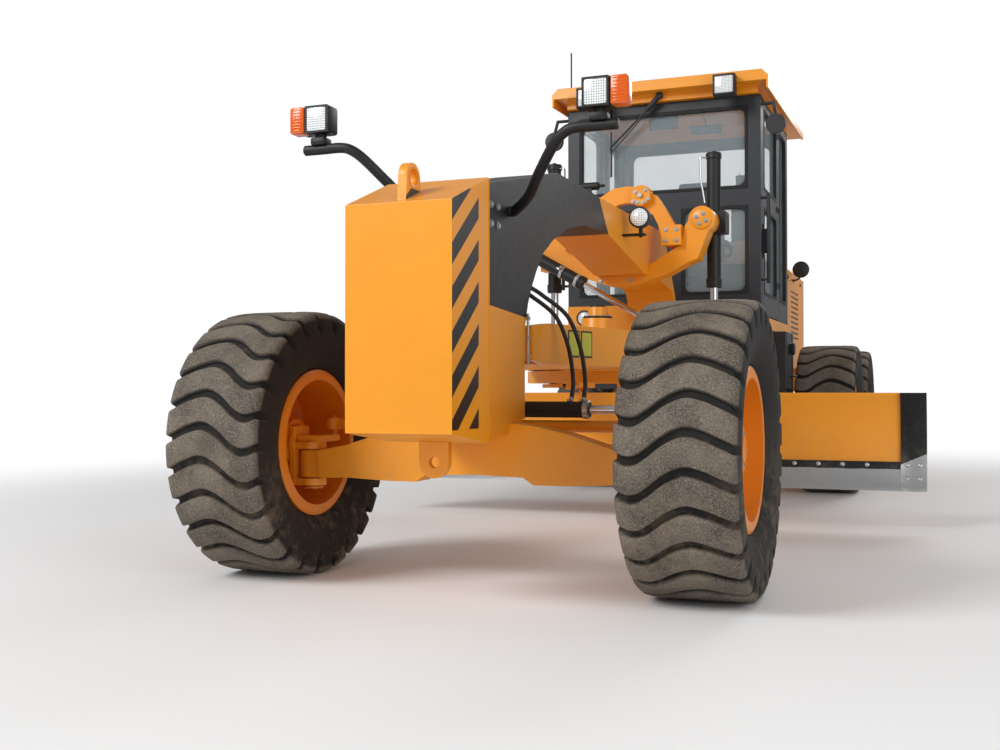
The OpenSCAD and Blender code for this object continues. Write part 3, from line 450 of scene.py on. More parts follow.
hood_side, hood_top = 0.510, 2.18
latches, caps = Shape(), Shape()
for s, side in SIDES:
    for y in (5.36, 5.74, 6.24, 6.62, 6.86, 7.30, 7.86):
        for z in (1.30, 2.02):
            latches.turned((s * hood_side, y, z), (s, 0, 0), [(0.022, -0.001), (0.022, 0.003), (0.018, 0.006),
                                                              (0, 0.006)], 20)
            latches.block((min(s * 0.514, s * 0.522), y - 0.016, z - 0.004), (max(s * 0.514, s * 0.522),
                                                                              y + 0.016, z + 0.004), 0.001)
    for y in (6.1, 7.3):
        latches.tube([(s * 0.3, y, 2.176), (s * 0.3, y, 2.215), (s * 0.3, y + 0.02, 2.225),
                      (s * 0.3, y + 0.13, 2.225), (s * 0.3, y + 0.15, 2.215), (s * 0.3, y + 0.15, 2.176)],
                     0.008)
latches.done("Hood_latches", black_paint, "chassis", "black")
for y, r in ((7.62, 0.062), (6.75, 0.045)):
    caps.turned((-0.05, y, hood_top), Z, [(0, 0), (r * 0.8, 0), (r * 0.8, 0.02), (r, 0.022), (r, 0.04),
                                          (r * 0.9, 0.048), (0, 0.05)], 32)
    for i in range(12):
        t = math.radians(30 * i)
        caps.rod((-0.05 + r * math.cos(t), y + r * math.sin(t), 2.203),
                 (-0.05 + r * math.cos(t), y + r * math.sin(t), 2.221), 0.004, 8)
caps.done("Filler_caps", black_paint, "chassis", "black")
plate = Shape()
plate.tube([(0.505, 7.19, 2.02), (0.56, 7.19, 2.02), (0.60, 7.19, 2.06), (0.60, 7.19, 2.10)], 0.009)
plate.turned((0.60, 7.205, 2.124), FORE, [(0, 0), (0.07, 0), (0.084, 0.012), (0.085, 0.022), (0.078, 0.027),
                                          (0, 0.03)], 36)
plate.done("Side_mirror", plastic, "chassis", "plastic")

# Exhaust pipe: a steel tube with two clamps and a rain flap on a hinge. Beside it the air intake has a
# dust bowl under a lid.
dress(["exhaust_stack"], cab_paint)
pipe_x, pipe_y, intake_x = 0.23, 5.75, -0.23
stack = Shape()
stack.turned((pipe_x, pipe_y, 2.86), Z, [(0.034, -0.01), (0.034, 0.001), (0.043, 0.001), (0.043, -0.03),
                                         (0.0425, -0.04)], 32)
stack.block((0.226, 5.70, 2.861), (0.234, 5.706, 2.885), 0.001)
stack.turned((pipe_x, pipe_y, 2.864), (0, -0.25, 1), [(0, 0), (0.05, 0), (0.05, 0.004), (0, 0.004)], 32)
for z, r in ((2.30, 0.087), (2.46, 0.087), (2.60, 0.045)):
    stack.turned((pipe_x, pipe_y, z), Z, [(r - 0.004, 0), (r + 0.002, 0.002), (r + 0.002, 0.016),
                                          (r - 0.004, 0.018)], 36)
    stack.bolt((pipe_x, pipe_y - r - 0.004, z + 0.009), X, 0.007)
stack.turned((intake_x, pipe_y, 2.63), Z, [(0.112, -0.02), (0.114, 0.0), (0.09, 0.02), (0.03, 0.03),
                                           (0, 0.03)], 40)
stack.turned((intake_x, pipe_y, 2.47), Z, [(0.100, 0.006), (0.104, 0.012), (0.104, 0.02), (0.098, 0.024)], 40)
stack.done("Exhaust_fittings", cab_paint, "chassis", "charcoal")

# Side tanks: fuel and oil tanks of folded steel under the doors, tied by straps. Each carries two steps
# with raised grips, a capped filler and a grab handle.


def brushed(where, xyz, normal):
    """Bare steel with fine streaks along the blade."""
    x, y, z = xyz
    line = noise(Val.node("ShaderNodeCombineXYZ", None, {0: x * 3.0, 1: y * 60.0, 2: z * 60.0}), 1.0, 3.0)
    return mix(line, hex_colour("#77797b"), hex_colour("#a9abac"))


worn_steel = material("Worn_steel", "#8d8f90", 0.38, metal=0.85, dust=0.3, low_dust=0.5, vary=0.25,
                      rough_vary=0.2, bump=0.25, pattern=brushed)
dress(["side_tanks"], cab_paint, 0.004)
treads, tank_parts = Shape(), Shape()
for s, side in SIDES:
    for z in (0.510, 0.720):
        for i in range(10):
            for j in range(4):
                y, x = 4.365 + i * 0.041, s * (0.635 + j * 0.05)
                treads.block((x - 0.018, y - 0.006, z - 0.001), (x + 0.018, y + 0.006, z + 0.006), 0.002)
    for y in (4.38, 4.70):
        tank_parts.block((min(s * 0.3295, s * 0.8235), y - 0.02, 0.8965), (max(s * 0.3295, s * 0.8235),
                                                                           y + 0.02, 1.3495), 0.003)
    tank_parts.turned((s * 0.82, 4.54, 1.22), (s, 0, 0), [(0, 0), (0.045, 0), (0.045, 0.018), (0.05, 0.02),
                                                          (0.05, 0.036), (0.044, 0.042), (0, 0.042)], 32)
    tank_parts.tube([(s * 0.83, 4.45, 1.00), (s * 0.86, 4.45, 1.00), (s * 0.865, 4.46, 1.00),
                     (s * 0.865, 4.62, 1.00), (s * 0.86, 4.63, 1.00), (s * 0.82, 4.63, 1.00)], 0.008)
treads.done("Step_treads", worn_steel, "chassis", "steel")
tank_parts.done("Tank_straps", black_paint, "chassis", "black")

# Cab: welded posts and sheet with a window between each pair of posts. The glass sits in black rubber
# with round corners, and a window of each door is glass in the door's own solid. The doors have a lock
# outside and a grab rail inside.
hose_rubber = material("Hose_rubber", "#1b1b1c", 0.6, dust=0.2)
window_rubber = material("Window_rubber", "#111213", 0.7, dust=0.2)
clear_glass = material("Clear_glass", "#c9dbe2", 0.05, dust=0.08, low_dust=0.1, vary=0.03, rough_vary=0.03,
                       alpha=0.2)
dress(["cab_base"], paint, 0.004)
dress(["cab_front", "cab_rear"], cab_paint, 0.004)
dress(["cab_glass"], clear_glass)
dress(["door_left", "door_right"], cab_paint, 0.002)
for name in ("door_left", "door_right"):
    door = nodes[name].data
    door.materials.append(clear_glass)
    for face in door.polygons:
        if all(0.7145 < abs(door.vertices[i].co.x) < 0.7215 for i in face.vertices):
            face.material_index = 1
low_window, high_window, door_window = (1.60, 2.25), (2.377, 2.985), (3.748, 4.398)
seals = Shape()
for a0, a1, b0, b1 in ((-0.645, 0.645, *high_window), (-0.645, -0.15, *low_window),
                       (0.15, 0.645, *low_window)):
    seals.surround("y", a0, a1, b0, b1, 3.597, 3.645, 0.022, 0.05)
seals.surround("y", -0.62, 0.62, 1.95, 2.985, 5.022, 5.063, 0.022, 0.06)
for s, side in SIDES:
    seals.surround("x", 4.576, 4.95, 1.60, 2.985, s * 0.743, s * 0.70, 0.02, 0.05)
seals.done("Window_rubbers", window_rubber, "chassis", "hose")
for s, side in SIDES:
    rubber = Shape()
    for b0, b1 in (low_window, high_window):
        rubber.surround("x", *door_window, b0, b1, s * 0.743, s * 0.702, 0.02, 0.05)
    rubber.done("Door_rubber_" + side, window_rubber, side + "_door", "hose")
    lock = Shape()
    lock.block((min(s * 0.739, s * 0.748), 3.685, 1.865), (max(s * 0.739, s * 0.748), 3.725, 2.115), 0.003)
    lock.turned((s * 0.747, 3.705, 1.88), (s, 0, 0), [(0, 0), (0.012, 0), (0.012, 0.003), (0, 0.004)], 20)
    lock.tube([(s * 0.684, 3.80, 2.31), (s * 0.655, 3.80, 2.31), (s * 0.645, 3.82, 2.31),
               (s * 0.645, 4.30, 2.31), (s * 0.655, 4.32, 2.31), (s * 0.684, 4.32, 2.31)], 0.011)
    lock.done("Door_lock_" + side, plastic, side + "_door", "plastic")

# Roof: a sheet steel roof with two square working lamps at its front edge. Round mirrors hang at the
# front posts, the wiper's motor and arm sit under the roof's edge, and a whip aerial stands on its foot.
chrome = material("Chrome", "#d6d8da", 0.12, metal=1.0, dust=0.1, low_dust=0.1, vary=0.05, rough_vary=0.05)
dress(["cab_roof"], paint, 0.004)
dress(["cab_fittings"], plastic, 0.003)
roof_lamp_x, roof_lamp_z = 0.515, 3.092
roof_lens, roof_rim = Shape(), Shape()
for s, side in SIDES:
    roof_lens.block((s * roof_lamp_x - 0.066, 3.352, 3.031), (s * roof_lamp_x + 0.066, 3.366, 3.153), 0.006)
    for a in (-1, 1):
        roof_rim.block((s * roof_lamp_x + a * 0.0725 - 0.0065, 3.348, 3.018),
                       (s * roof_lamp_x + a * 0.0725 + 0.0065, 3.366, 3.166), 0.003)
        roof_rim.block((s * roof_lamp_x - 0.079, 3.348, roof_lamp_z + a * 0.0675 - 0.0065),
                       (s * roof_lamp_x + 0.079, 3.366, roof_lamp_z + a * 0.0675 + 0.0065), 0.003)
    roof_rim.bolt((s * roof_lamp_x, 3.40, 3.167), Z, 0.009)
roof_lens.done("Roof_lamp_glass", lamp_glass_glint_look, "chassis", "clear")
roof_rim.done("Roof_lamp_rims", plastic, "chassis", "plastic")
glass = Shape()
for s, side in SIDES:
    glass.turned((s * 0.85, 3.6115, 2.83), Y, [(0, 0), (0.064, 0), (0.064, 0.003), (0.06, 0.0045),
                                               (0, 0.0055)], 36)
glass.done("Mirror_glass", chrome, "chassis", "chrome")
wiper = Shape()
wiper.rod((0.003, 3.5495, 3.100), (0.003, 3.510, 3.100), 0.026, 24, 0.006)
wiper.rod((0.008, 3.532, 3.104), (-0.105, 3.550, 2.998), 0.021, 20, 0.008)
wiper.rod((-0.100, 3.552, 3.003), (-0.390, 3.578, 2.745), 0.0075, 12)
wiper.rod((-0.118, 3.560, 2.970), (-0.390, 3.580, 2.700), 0.0045, 10)
wiper.block((-0.395, 3.580, 2.522), (-0.381, 3.594, 2.867), 0.003)
wiper.block((-0.3895, 3.592, 2.528), (-0.3865, 3.5965, 2.861))
wiper.rod((-0.388, 3.574, 2.757), (-0.388, 3.590, 2.690), 0.008, 12)
wiper.done("Wiper", plastic, "chassis", "plastic")
aerial = Shape()
aerial.turned((-0.76, 3.75, 3.2006), Z, [(0, 0), (0.022, 0), (0.02, 0.012), (0.009, 0.03), (0.007, 0.05),
                                         (0, 0.05)], 24)
aerial.done("Aerial_foot", plastic, "chassis", "plastic")

# Inside the cab: a ribbed rubber mat, two pedals, ten levers on consoles at both sides of the steering
# column, three gauges, a sun visor and a rear-view mirror.
mat_rubber = material("Floor_mat", "#26282a", 0.85, dust=0.6, bump=0.4, bump_scale=150.0)
dress(["cab_controls"], plastic)
floor_mat = Shape().block((-0.66, 3.855, 1.4405), (0.66, 4.98, 1.450), 0.003)
for i in range(20):
    floor_mat.block((-0.62 + i * 0.0625, 3.88, 1.4495), (-0.60 + i * 0.0625, 4.45, 1.453), 0.001)
floor_mat.done("Floor_mat", mat_rubber, "chassis", "hose")
inside, knobs = Shape(), Shape()
for i in range(5):
    for s, side in SIDES:
        x = s * (0.165 + i * 0.032)
        inside.tube([(x, 3.84, 1.86), (x, 3.86, 1.98), (x + s * 0.01, 3.90, 2.08)], 0.006, 8)
        knobs.turned((x + s * 0.01, 3.898, 2.075), (s * 0.1, 0.35, 1), [(0, 0), (0.012, 0.004), (0.017, 0.02),
                                                                        (0.013, 0.036), (0, 0.042)], 20)
for s, side in SIDES:
    inside.block((min(s * 0.141, s * 0.33), 3.79, 1.80), (max(s * 0.141, s * 0.33), 3.88, 1.865), 0.01)
    inside.block((s * 0.22 - 0.045, 3.86, 1.49), (s * 0.22 + 0.045, 3.99, 1.505), 0.005,
                 Matrix.Rotation(math.radians(38), 3, "X"))
    inside.rod((s * 0.22, 3.90, 1.45), (s * 0.22, 3.93, 1.49), 0.012)
inside.block((-0.17, 3.895, 2.925), (0.061, 3.905, 3.058), 0.004)
inside.turned((0, 3.865, 2.01), (0, 0.75, 0.66), [(0, 0), (0.05, 0), (0.056, 0.006), (0.05, 0.012),
                                                  (0, 0.01)], 32)
for i in (-1, 1):
    inside.turned((0.095 * i, 3.855, 2.0), (0, 0.75, 0.66), [(0, 0), (0.03, 0), (0.035, 0.006), (0.03, 0.01),
                                                             (0, 0.008)], 28)
inside.tube([(0.30, 3.70, 2.95), (0.30, 3.78, 2.93), (0.30, 3.80, 2.90)], 0.007)
inside.block((0.18, 3.79, 2.84), (0.42, 3.805, 2.91), 0.008)
inside.done("Cab_levers_and_trim", plastic, "chassis", "plastic")
knobs.done("Lever_knobs", black_paint, "chassis", "black")

# Seat: a cushion, a back and a head rest of foam under woven cloth with sewn channels, on a sprung foot
# with folded bellows and two arm rests.


def cloth(where, xyz, normal):
    """Woven seat cover: a fine cross weave with a paler speckle."""
    x, y, z = xyz
    weave = ((x / 0.006).frac() - 0.5).size() * ((z / 0.006 + y / 0.006).frac() - 0.5).size()
    return mix(weave.ramp(0.02, 0.2), hex_colour("#1e2024"), hex_colour("#3c4048"))


seat_cloth = material("Seat_fabric", "#2a2b2e", 0.9, dust=0.2, bump=0.5, bump_scale=400.0, pattern=cloth)
dress(["cab_seat"], seat_cloth)


def pad(name, low, high, round_off, crown, axis, grooves):
    """A padded piece: a rounded block with swelled faces, and sewn grooves across it."""
    low, high = Vector(low), Vector(high)
    shape = bmesh.new()
    bmesh.ops.create_cube(shape, size=1.0,
                          matrix=Matrix.Translation((low + high) / 2) @ Matrix.Diagonal((*(high - low), 1)))
    bmesh.ops.bevel(shape, geom=shape.edges[:], offset=round_off, offset_type="OFFSET", affect="EDGES",
                    segments=5, profile=0.5, material=-1)
    bmesh.ops.subdivide_edges(shape, edges=[e for e in shape.edges if e.calc_length() > 0.08], cuts=30,
                              use_grid_fill=True)
    middle, half = (low + high) / 2, (high - low) / 2
    across = [i for i in range(3) if i != axis]
    for v in shape.verts:
        k = [(v.co[i] - middle[i]) / half[i] for i in range(3)]
        swell = max(0.0, 1 - k[across[0]] ** 4) * max(0.0, 1 - k[across[1]] ** 4)
        dip = sum(math.exp(-((k[0] - g) / 0.035) ** 2) for g in grooves)
        v.co[axis] += (1 if k[axis] > 0 else -1) * crown * (swell - 0.9 * dip - 0.55) * (abs(k[axis]) > 0.6)
    made = Shape()
    made.mesh = shape
    obj = made.done(name, seat_cloth, "chassis", "seat_cover", 80)
    return obj


cushion = pad("Seat_cushion", (-0.258, 4.302, 1.842), (0.258, 4.755, 1.955), 0.035, 0.012, 2, (-0.5, 0.5))
back_rest = pad("Seat_back", (-0.248, 4.765, 1.965), (0.248, 4.876, 2.478), 0.035, 0.012, 1, (-0.5, 0.5))
head_rest = pad("Seat_head_rest", (-0.138, 4.794, 2.50), (0.138, 4.858, 2.656), 0.028, 0.006, 1, ())
foot = Shape()
foot.block((-0.2, 4.38, 1.451), (0.2, 4.74, 1.475), 0.006)
for i in range(7):
    z = 1.475 + i * 0.045
    foot.block((-0.16 + 0.004 * (i % 2), 4.42 + 0.01 * (i % 2), z),
               (0.16 - 0.004 * (i % 2), 4.70 - 0.01 * (i % 2), z + 0.045), 0.012)
foot.block((-0.235, 4.33, 1.80), (0.235, 4.80, 1.84), 0.01)
foot.block((-0.2, 4.755, 1.83), (-0.16, 4.80, 2.1), 0.006)
foot.block((0.16, 4.755, 1.83), (0.2, 4.80, 2.1), 0.006)
for s, side in SIDES:
    foot.rod((s * 0.06, 4.826, 2.46), (s * 0.06, 4.826, 2.52), 0.007)
    foot.block((min(s * 0.285, s * 0.335), 4.47, 2.075), (max(s * 0.285, s * 0.335), 4.80, 2.115), 0.012)
    foot.tube([(s * 0.245, 4.81, 2.02), (s * 0.30, 4.81, 2.03), (s * 0.31, 4.79, 2.08)], 0.012)
seat_foot = foot.done("Seat_foot", plastic, "chassis", "plastic")
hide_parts("cab_seat")

# Front frame: an arched box girder of welded plates, black with a yellow leg and rear part. Bolts hold
# the weight box to it, and a grease pipe runs down its left side.


def frame_pattern(where, xyz, normal):
    """The arched frame is black, with a yellow leg beside the weight box and a yellow rear part."""
    x, y, z = xyz
    rear = y + (z - 1.80) * 1.02 > -2.19
    leg = z < 1.2407 - (y + 3.75) * 0.0635
    yellow = Val.math("MAXIMUM", rear, leg * (y < -3.2))
    return mix(yellow, hex_colour(BLACK), hex_colour(YELLOW))


frame_paint = material("Frame_paint", BLACK, 0.45, coat=0.1, dust=0.14, vary=0.08, pattern=frame_pattern)
dress(["front_frame"], frame_paint, 0.003)
neck_bolts = Shape()
for s, side in SIDES:
    for y, z in ((-0.281, 1.699), (-0.198, 1.615), (-0.281, 1.615), (-0.198, 1.699)):
        neck_bolts.bolt((s * 0.170, y, z), (s, 0, 0), 0.013)
neck_bolts.rod((0.180, 0.159, 1.010), (0.180, 0.159, 1.250), 0.007, 12)
for z in (1.04, 1.13, 1.22):
    neck_bolts.block((0.1705, 0.150, z), (0.190, 0.168, z + 0.014), 0.002)
neck_bolts.done("Neck_bolts", zinc, "front", "steel")

# Weight box: a heavy box of welded plates with black warning bars on its sides and a lifting eye on top.
# A thin seam shows at each side where its rear plate is welded in.


def box_pattern(where, xyz, normal):
    """Slanting black bars on the weight box's two side faces, with a plain yellow margin behind."""
    x, y, z = xyz
    slant = (z - (y + 4.596) * 0.8) / 0.172
    bar = slant.frac() < 0.5
    inside = (y < -4.325) * (normal[0].size() > 0.9) * (z > 0.735) * (z < 1.7)
    return mix(bar * inside, hex_colour(YELLOW), hex_colour(BLACK))


box_paint = material("Box_paint", YELLOW, 0.4, coat=0.2, vary=0.06, dust=0.08, pattern=box_pattern)
dress(["weight_box"], box_paint, 0.003)
seams = Shape()
for s, side in SIDES:
    seams.slab([(s * 0.2335, -0.4672, 0.675), (s * 0.2365, -0.4672, 0.675), (s * 0.2365, -0.4672, 1.775),
                (s * 0.2335, -0.4672, 1.775)], (0, 0.004, 0))
seams.turned((0, -0.740, 1.748), X, [(0.034, -0.0215), (0.041, -0.0225), (0.041, -0.0195)], 32)
seams.turned((0, -0.740, 1.748), X, [(0.041, 0.0195), (0.041, 0.0225), (0.034, 0.0215)], 32)
seams.done("Box_seams", paint, "front", "paint")

# Head lamps: on long bent arms, a ribbed clear glass and an amber turn signal in one black housing. A
# round working lamp stands on its own small bracket at the left of the neck.
dress(["head_lamps"], plastic)
lamp_y, lamp_low, lamp_high, arm_r = -0.298, 2.066, 2.190, 0.0235
arms, lamp_glass, lamp_amber, work_glass = Shape(), Shape(), Shape(), Shape()
for s, side in SIDES:
    arms.tube([(s * 0.1703, -0.060, 1.700), (s * 0.20, -0.063, 1.701), (s * 0.29, -0.13, 1.750),
               (s * 0.36, -0.20, 1.830), (s * 0.455, -0.27, 1.940), (s * 0.51, -0.291, 1.983),
               (s * 0.56, lamp_y, 1.997), (s * 0.65, lamp_y, 1.997), (s * 0.745, lamp_y, 1.997)], arm_r, 20,
              5)
    arms.turned((s * 0.745, lamp_y, 1.997), (s, 0, 0), [(arm_r, -0.002), (0.019, 0.004), (0, 0.005)], 20)
    arms.block((s * 0.665 - 0.038, -0.334, 2.012), (s * 0.665 + 0.038, -0.262, 2.050), 0.010)
    arms.rod((s * 0.665, lamp_y, 2.045), (s * 0.665, lamp_y, lamp_low), 0.026)
    near, far = min(s * 0.600, s * 0.728), max(s * 0.600, s * 0.728)
    arms.block((near, -0.345, 2.063), (far, -0.250, 2.193), 0.014)
    near, far = min(s * 0.720, s * 0.762), max(s * 0.720, s * 0.762)
    arms.block((near, -0.300, lamp_low), (far, -0.252, lamp_high), 0.010)
    near, far = min(s * 0.603, s * 0.720), max(s * 0.603, s * 0.720)
    arms.surround("y", near, far, lamp_low, lamp_high, -0.352, -0.338, 0.009, 0.010)
    lamp_glass.block((near + 0.008, -0.3500, 2.074), (far - 0.008, -0.342, 2.182), 0.003)
    near, far = min(s * 0.724, s * 0.801), max(s * 0.724, s * 0.801)
    lamp_amber.block((near, -0.352, lamp_low), (far, -0.276, lamp_high), 0.012)
    for k in range(8):
        lamp_amber.block((near + 0.012, -0.3535, 2.078 + k * 0.0135),
                         (far - 0.012, -0.351, 2.084 + k * 0.0135), 0.001)
    arms.tube([(s * 0.70, -0.252, 2.09), (s * 0.70, -0.228, 2.08), (s * 0.70, -0.236, 2.01),
               (s * 0.69, -0.275, 1.995)], 0.006, 8)
arms.turned((0.28, 1.851, 1.934), FORE, [(0.055, 0.004), (0.055, 0.012), (0.064, 0.012), (0.066, 0.002),
                                         (0.064, -0.010), (0.064, -0.040), (0.055, -0.078), (0.03, -0.094),
                                         (0, -0.096)], 40)
arms.rod((0.28, 1.885, 1.838), (0.28, 1.885, 1.880), 0.012)
arms.block((0.1703, 1.860, 1.826), (0.310, 1.910, 1.839), 0.002)
arms.bolt((0.28, 1.885, 1.826), DOWN_Z, 0.012)
work_glass.turned((0.28, 1.848, 1.934), FORE, [(0.056, -0.002), (0.053, 0.008), (0.038, 0.018), (0.02, 0.023),
                                               (0, 0.024)], 40)
lamp_arms = arms.done("Lamp_arms", black_paint, "front", "black")
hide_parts("head_lamps")
lamp_glass.done("Head_lamp_glass", lamp_glass_glint_look, "front", "clear")
lamp_amber.done("Turn_signal_glass", amber_glass, "front", "plastic")
work_glass.done("Work_lamp_glass", lamp_glass_glint_look, "front", "clear")

# Saddle: a welded frame over the neck with hinged arms that carry the lift cylinders. Its pins have
# bolted round bosses, and a small locking rod sits at the right of its top.
dress(["lift_saddle"], paint, 0.003)
saddle_bolts, bosses = Shape(), Shape()
for s, side in SIDES:
    bosses.turned((s * 0.525, 2.5003, 2.0), FORE, [(0.066, 0), (0.066, 0.008), (0.060, 0.012), (0, 0.012)],
                  40)
    for x, z in ((0.493, 2.014), (0.539, 2.032), (0.511, 1.968), (0.557, 1.986)):
        saddle_bolts.stud((s * x, 2.4884, z), FORE, 0.0115)
    for x, z in ((0.300, 1.865), (0.370, 1.865), (0.300, 1.935), (0.370, 1.935)):
        saddle_bolts.bolt((s * x, 2.456, z), FORE, 0.011)
bosses.turned((0.104, 2.5803, 2.188), FORE, [(0.070, 0), (0.070, 0.02), (0.064, 0.026), (0, 0.026)], 40)
for x, z in ((0.070, 2.212), (0.138, 2.221), (0.157, 2.160), (0.055, 2.150), (0.085, 2.142), (0.124, 2.142)):
    saddle_bolts.bolt((x, 2.5545, z), FORE, 0.0105)
for x, z in ((-0.152, 1.620), (0.048, 1.620)):
    saddle_bolts.bolt((x, 2.5, z), FORE, 0.011)
bosses.block((-0.262, 2.592, 2.10), (-0.195, 2.612, 2.20), 0.003)
bosses.done("Saddle_bosses", paint, "front", "paint")
saddle_bolts.rod((0.104, 2.552, 2.188), (0.104, 2.536, 2.188), 0.016)
saddle_bolts.done("Saddle_bolts", zinc, "front", "steel")
lock_rod = Shape()
lock_rod.rod((-0.345, 2.635, 2.285), (-0.205, 2.635, 2.285), 0.027, 24, 0.004)
lock_rod.slab([(-0.255, 2.605, 2.10), (-0.215, 2.605, 2.12), (-0.255, 2.605, 2.27), (-0.29, 2.605, 2.265)],
              (0, 0.012, 0))
lock_rod.rod((-0.205, 2.635, 2.285), (-0.165, 2.635, 2.285), 0.011)
lock_rod.done("Saddle_lock", black_paint, "front", "black")

# Front axle: a welded beam with a king pin under a bolted cap at each end. The knuckles turn on the pins,
# tied by a rod, and a cylinder with two hoses pushes the rod.
rim_paint = material("Rim_paint", "#e8860c", 0.45, coat=0.15, dust=0.25, low_dust=0.25)
dress(["front_axle"], paint, 0.003)
dress(["knuckle_left", "knuckle_right"], paint, 0.002)
dress(["tie_rod"], paint)
dress(["steer_barrel"], black_paint)
dress(["steer_rod"], chrome)
dress(["frame_hoses"], hose_rubber)
king_x, arm_y = 0.88, 0.2
for s, side in SIDES:
    king = Shape()
    for z, up in ((0.645, 1), (0.424, -1)):
        king.turned((s * king_x, 0, z), (0, 0, up), [(0, 0), (0.05, 0), (0.05, 0.006), (0.044, 0.01),
                                                     (0, 0.01)], 32)
        for i in range(4):
            t = math.radians(45 + 90 * i)
            king.bolt((s * king_x + 0.036 * math.cos(t), 0.036 * math.sin(t), z + 0.010 * up), (0, 0, up),
                      0.006)
    king.turned((s * king_x, arm_y, 0.750), Z, [(0.03, 0), (0.03, 0.003), (0, 0.003)], 20)
    king.bolt((s * king_x, arm_y, 0.752), Z, 0.014)
    king.done("King_pin_caps_" + side, rim_paint, side + "_knuckle", "rim_paint")
steer = Shape()
steer.turned((0.44, arm_y, 0.80), X, [(0.0375, 0), (0.043, 0.003), (0.043, 0.026), (0.036, 0.030)], 28)
steer.turned((0.09, arm_y, 0.80), X, [(0.0375, 0), (0.042, 0.003), (0.042, 0.02), (0.0375, 0.023)], 28)
for x in (0.37, 0.43):
    steer.rod((x, 0.205, 0.836), (x, 0.228, 0.850), 0.012, 12)
    steer.turned((x, 0.203, 0.834), (0, 0.4, 0.9), [(0.016, 0), (0.016, 0.012), (0, 0.012)], 6)
steer.done("Steering_cylinder_fittings", zinc, "front", "steel")

hoses = Shape()
for dx in (0.0, 0.06):
    hoses.tube([(0.10 + dx, 0.254, 1.380), (0.13 + dx, 0.33, 1.350), (0.235 + dx, 0.40, 1.250),
                (0.300 + dx, 0.40, 1.100), (0.35 + dx, 0.32, 0.940), (0.37 + dx, 0.235, 0.852)], 0.0105, 14,
               10)
steer_hoses = hoses.done("Steering_hoses", hose_rubber, "front", "hose")
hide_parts("frame_hoses")

# Wheels: pressed steel rims, each with ten nuts on its disc, twelve bolts on the hub, a centre cap and a
# valve stem.
AXLES = (("front", 0.0), ("mid", MID_Y), ("rear", REAR_Y))
HALF_TRACK, nut_ring, hub_ring = 1.045, 0.232, 0.130
for axle, y in AXLES:
    for s, side in SIDES:
        dress(["rim_%s_%s" % (axle, side)], rim_paint)
        hub, nuts = Shape(), Shape()
        at = Vector((s * HALF_TRACK, y, WHEEL_Z))
        for i in range(10):
            t = math.radians(36 * i + (7 if axle == "front" else 20))
            nuts.stud(at + Vector((s * 0.098, nut_ring * math.cos(t), nut_ring * math.sin(t))), (s, 0, 0),
                      0.016)
        for i in range(12):
            t = math.radians(30 * i)
            nuts.bolt(at + Vector((s * 0.104, hub_ring * math.cos(t), hub_ring * math.sin(t))), (s, 0, 0),
                      0.008)
        for i in range(6):
            t = math.radians(60 * i)
            nuts.bolt(at + Vector((s * 0.158, 0.075 * math.cos(t), 0.075 * math.sin(t))), (s, 0, 0), 0.008)
        nuts.tube([at + Vector((s * 0.085, 0.0, 0.292)), at + Vector((s * 0.12, 0.0, 0.290)),
                   at + Vector((s * 0.15, 0.0, 0.275))], 0.006, 8)
        nuts.done("Wheel_nuts_%s_%s" % (axle, side), zinc, "wheel_%s_%s" % (axle, side), "steel")
        hub.turned(at + Vector((s * 0.1578, 0, 0)), (s, 0, 0), [(0.05, 0), (0.05, 0.008), (0.044, 0.012),
                                                                (0.012, 0.012), (0.01, 0.016), (0, 0.016)],
                   36)
        for r in (0.17, 0.28):
            hub.turned(at + Vector((s * 0.098, 0, 0)), (s, 0, 0), [(r, -0.002), (r + 0.002, 0.002),
                                                                   (r + 0.006, 0.002), (r + 0.008, -0.002)],
                       60)
        hub.done("Hub_cap_%s_%s" % (axle, side), rim_paint, "wheel_%s_%s" % (axle, side), "rim_paint")

# Tyres: wide earthmover tyres with full-width wavy bars, 26 round the tyre, parted by worn grooves that
# run out over the shoulders, where each bar ends in a blunt block.


def tyre_wear_and_groove_shade_pattern(where, xyz, normal):
    """Dusty, worn grey-brown tops of the bars, painted shade darkening down into the grooves, and dark side
    walls.
    """
    wear_and_groove_shade = Val.node("ShaderNodeAttribute", {"attribute_name": "wear_and_groove_shade"}, out=2)
    patch = noise(where, 5.0, 4.0)
    scuff = noise(where, 160.0, 4.0, 0.75)
    top = mix(patch.ramp(0.35, 0.7), hex_colour("#514a42"), hex_colour("#746a5f"))
    top = mix(scuff.ramp(0.48, 0.66) * 0.55, top, hex_colour("#a39888"))
    top = mix((0.46 - scuff).ramp(0.0, 0.1) * 0.6, top, hex_colour("#2c2722"))
    # The paler bar tops are real wear and dust; the darkening down the groove walls is painted shade.
    return mix(wear_and_groove_shade.ramp(0.25, 0.9), hex_colour("#1c1a18"), top)


# Tyre rubber with real wear on the bar tops and painted shade down into the grooves.
tyre_rubber_groove_shade = material("Tyre_rubber_groove_shade", "#35322e", 0.86, dust=0.35, low_dust=0.45, vary=0.2, bump=0.9,
                       bump_scale=150.0, pattern=tyre_wear_and_groove_shade_pattern)
TYRE_R, TYRE_HALF, BARS, ROWS = 0.638, 0.245, 26, 66
PITCH = 2 * math.pi * TYRE_R / BARS
# Across one bar and its groove: way round the tyre, and depth as a share of the groove's
ACROSS = ((0.000, 1.0), (0.006, 0.45), (0.010, 0.10), (0.016, 0.0), (0.050, 0.0), (0.085, 0.0), (0.1155, 0.0),
          (0.120, 0.12), (0.1235, 0.5), (0.1265, 1.0), (0.140, 1.04))
# Rise of a bar's wave at places from the tyre's inner edge to its outer one
WAVE = ((-0.1, 0.052), (0.0, 0.032), (0.08, 0.016), (0.15, 0.010), (0.24, 0.028), (0.42, 0.094),
        (0.58, 0.128), (0.74, 0.112), (0.88, 0.082), (1.0, 0.058), (1.2, 0.040))


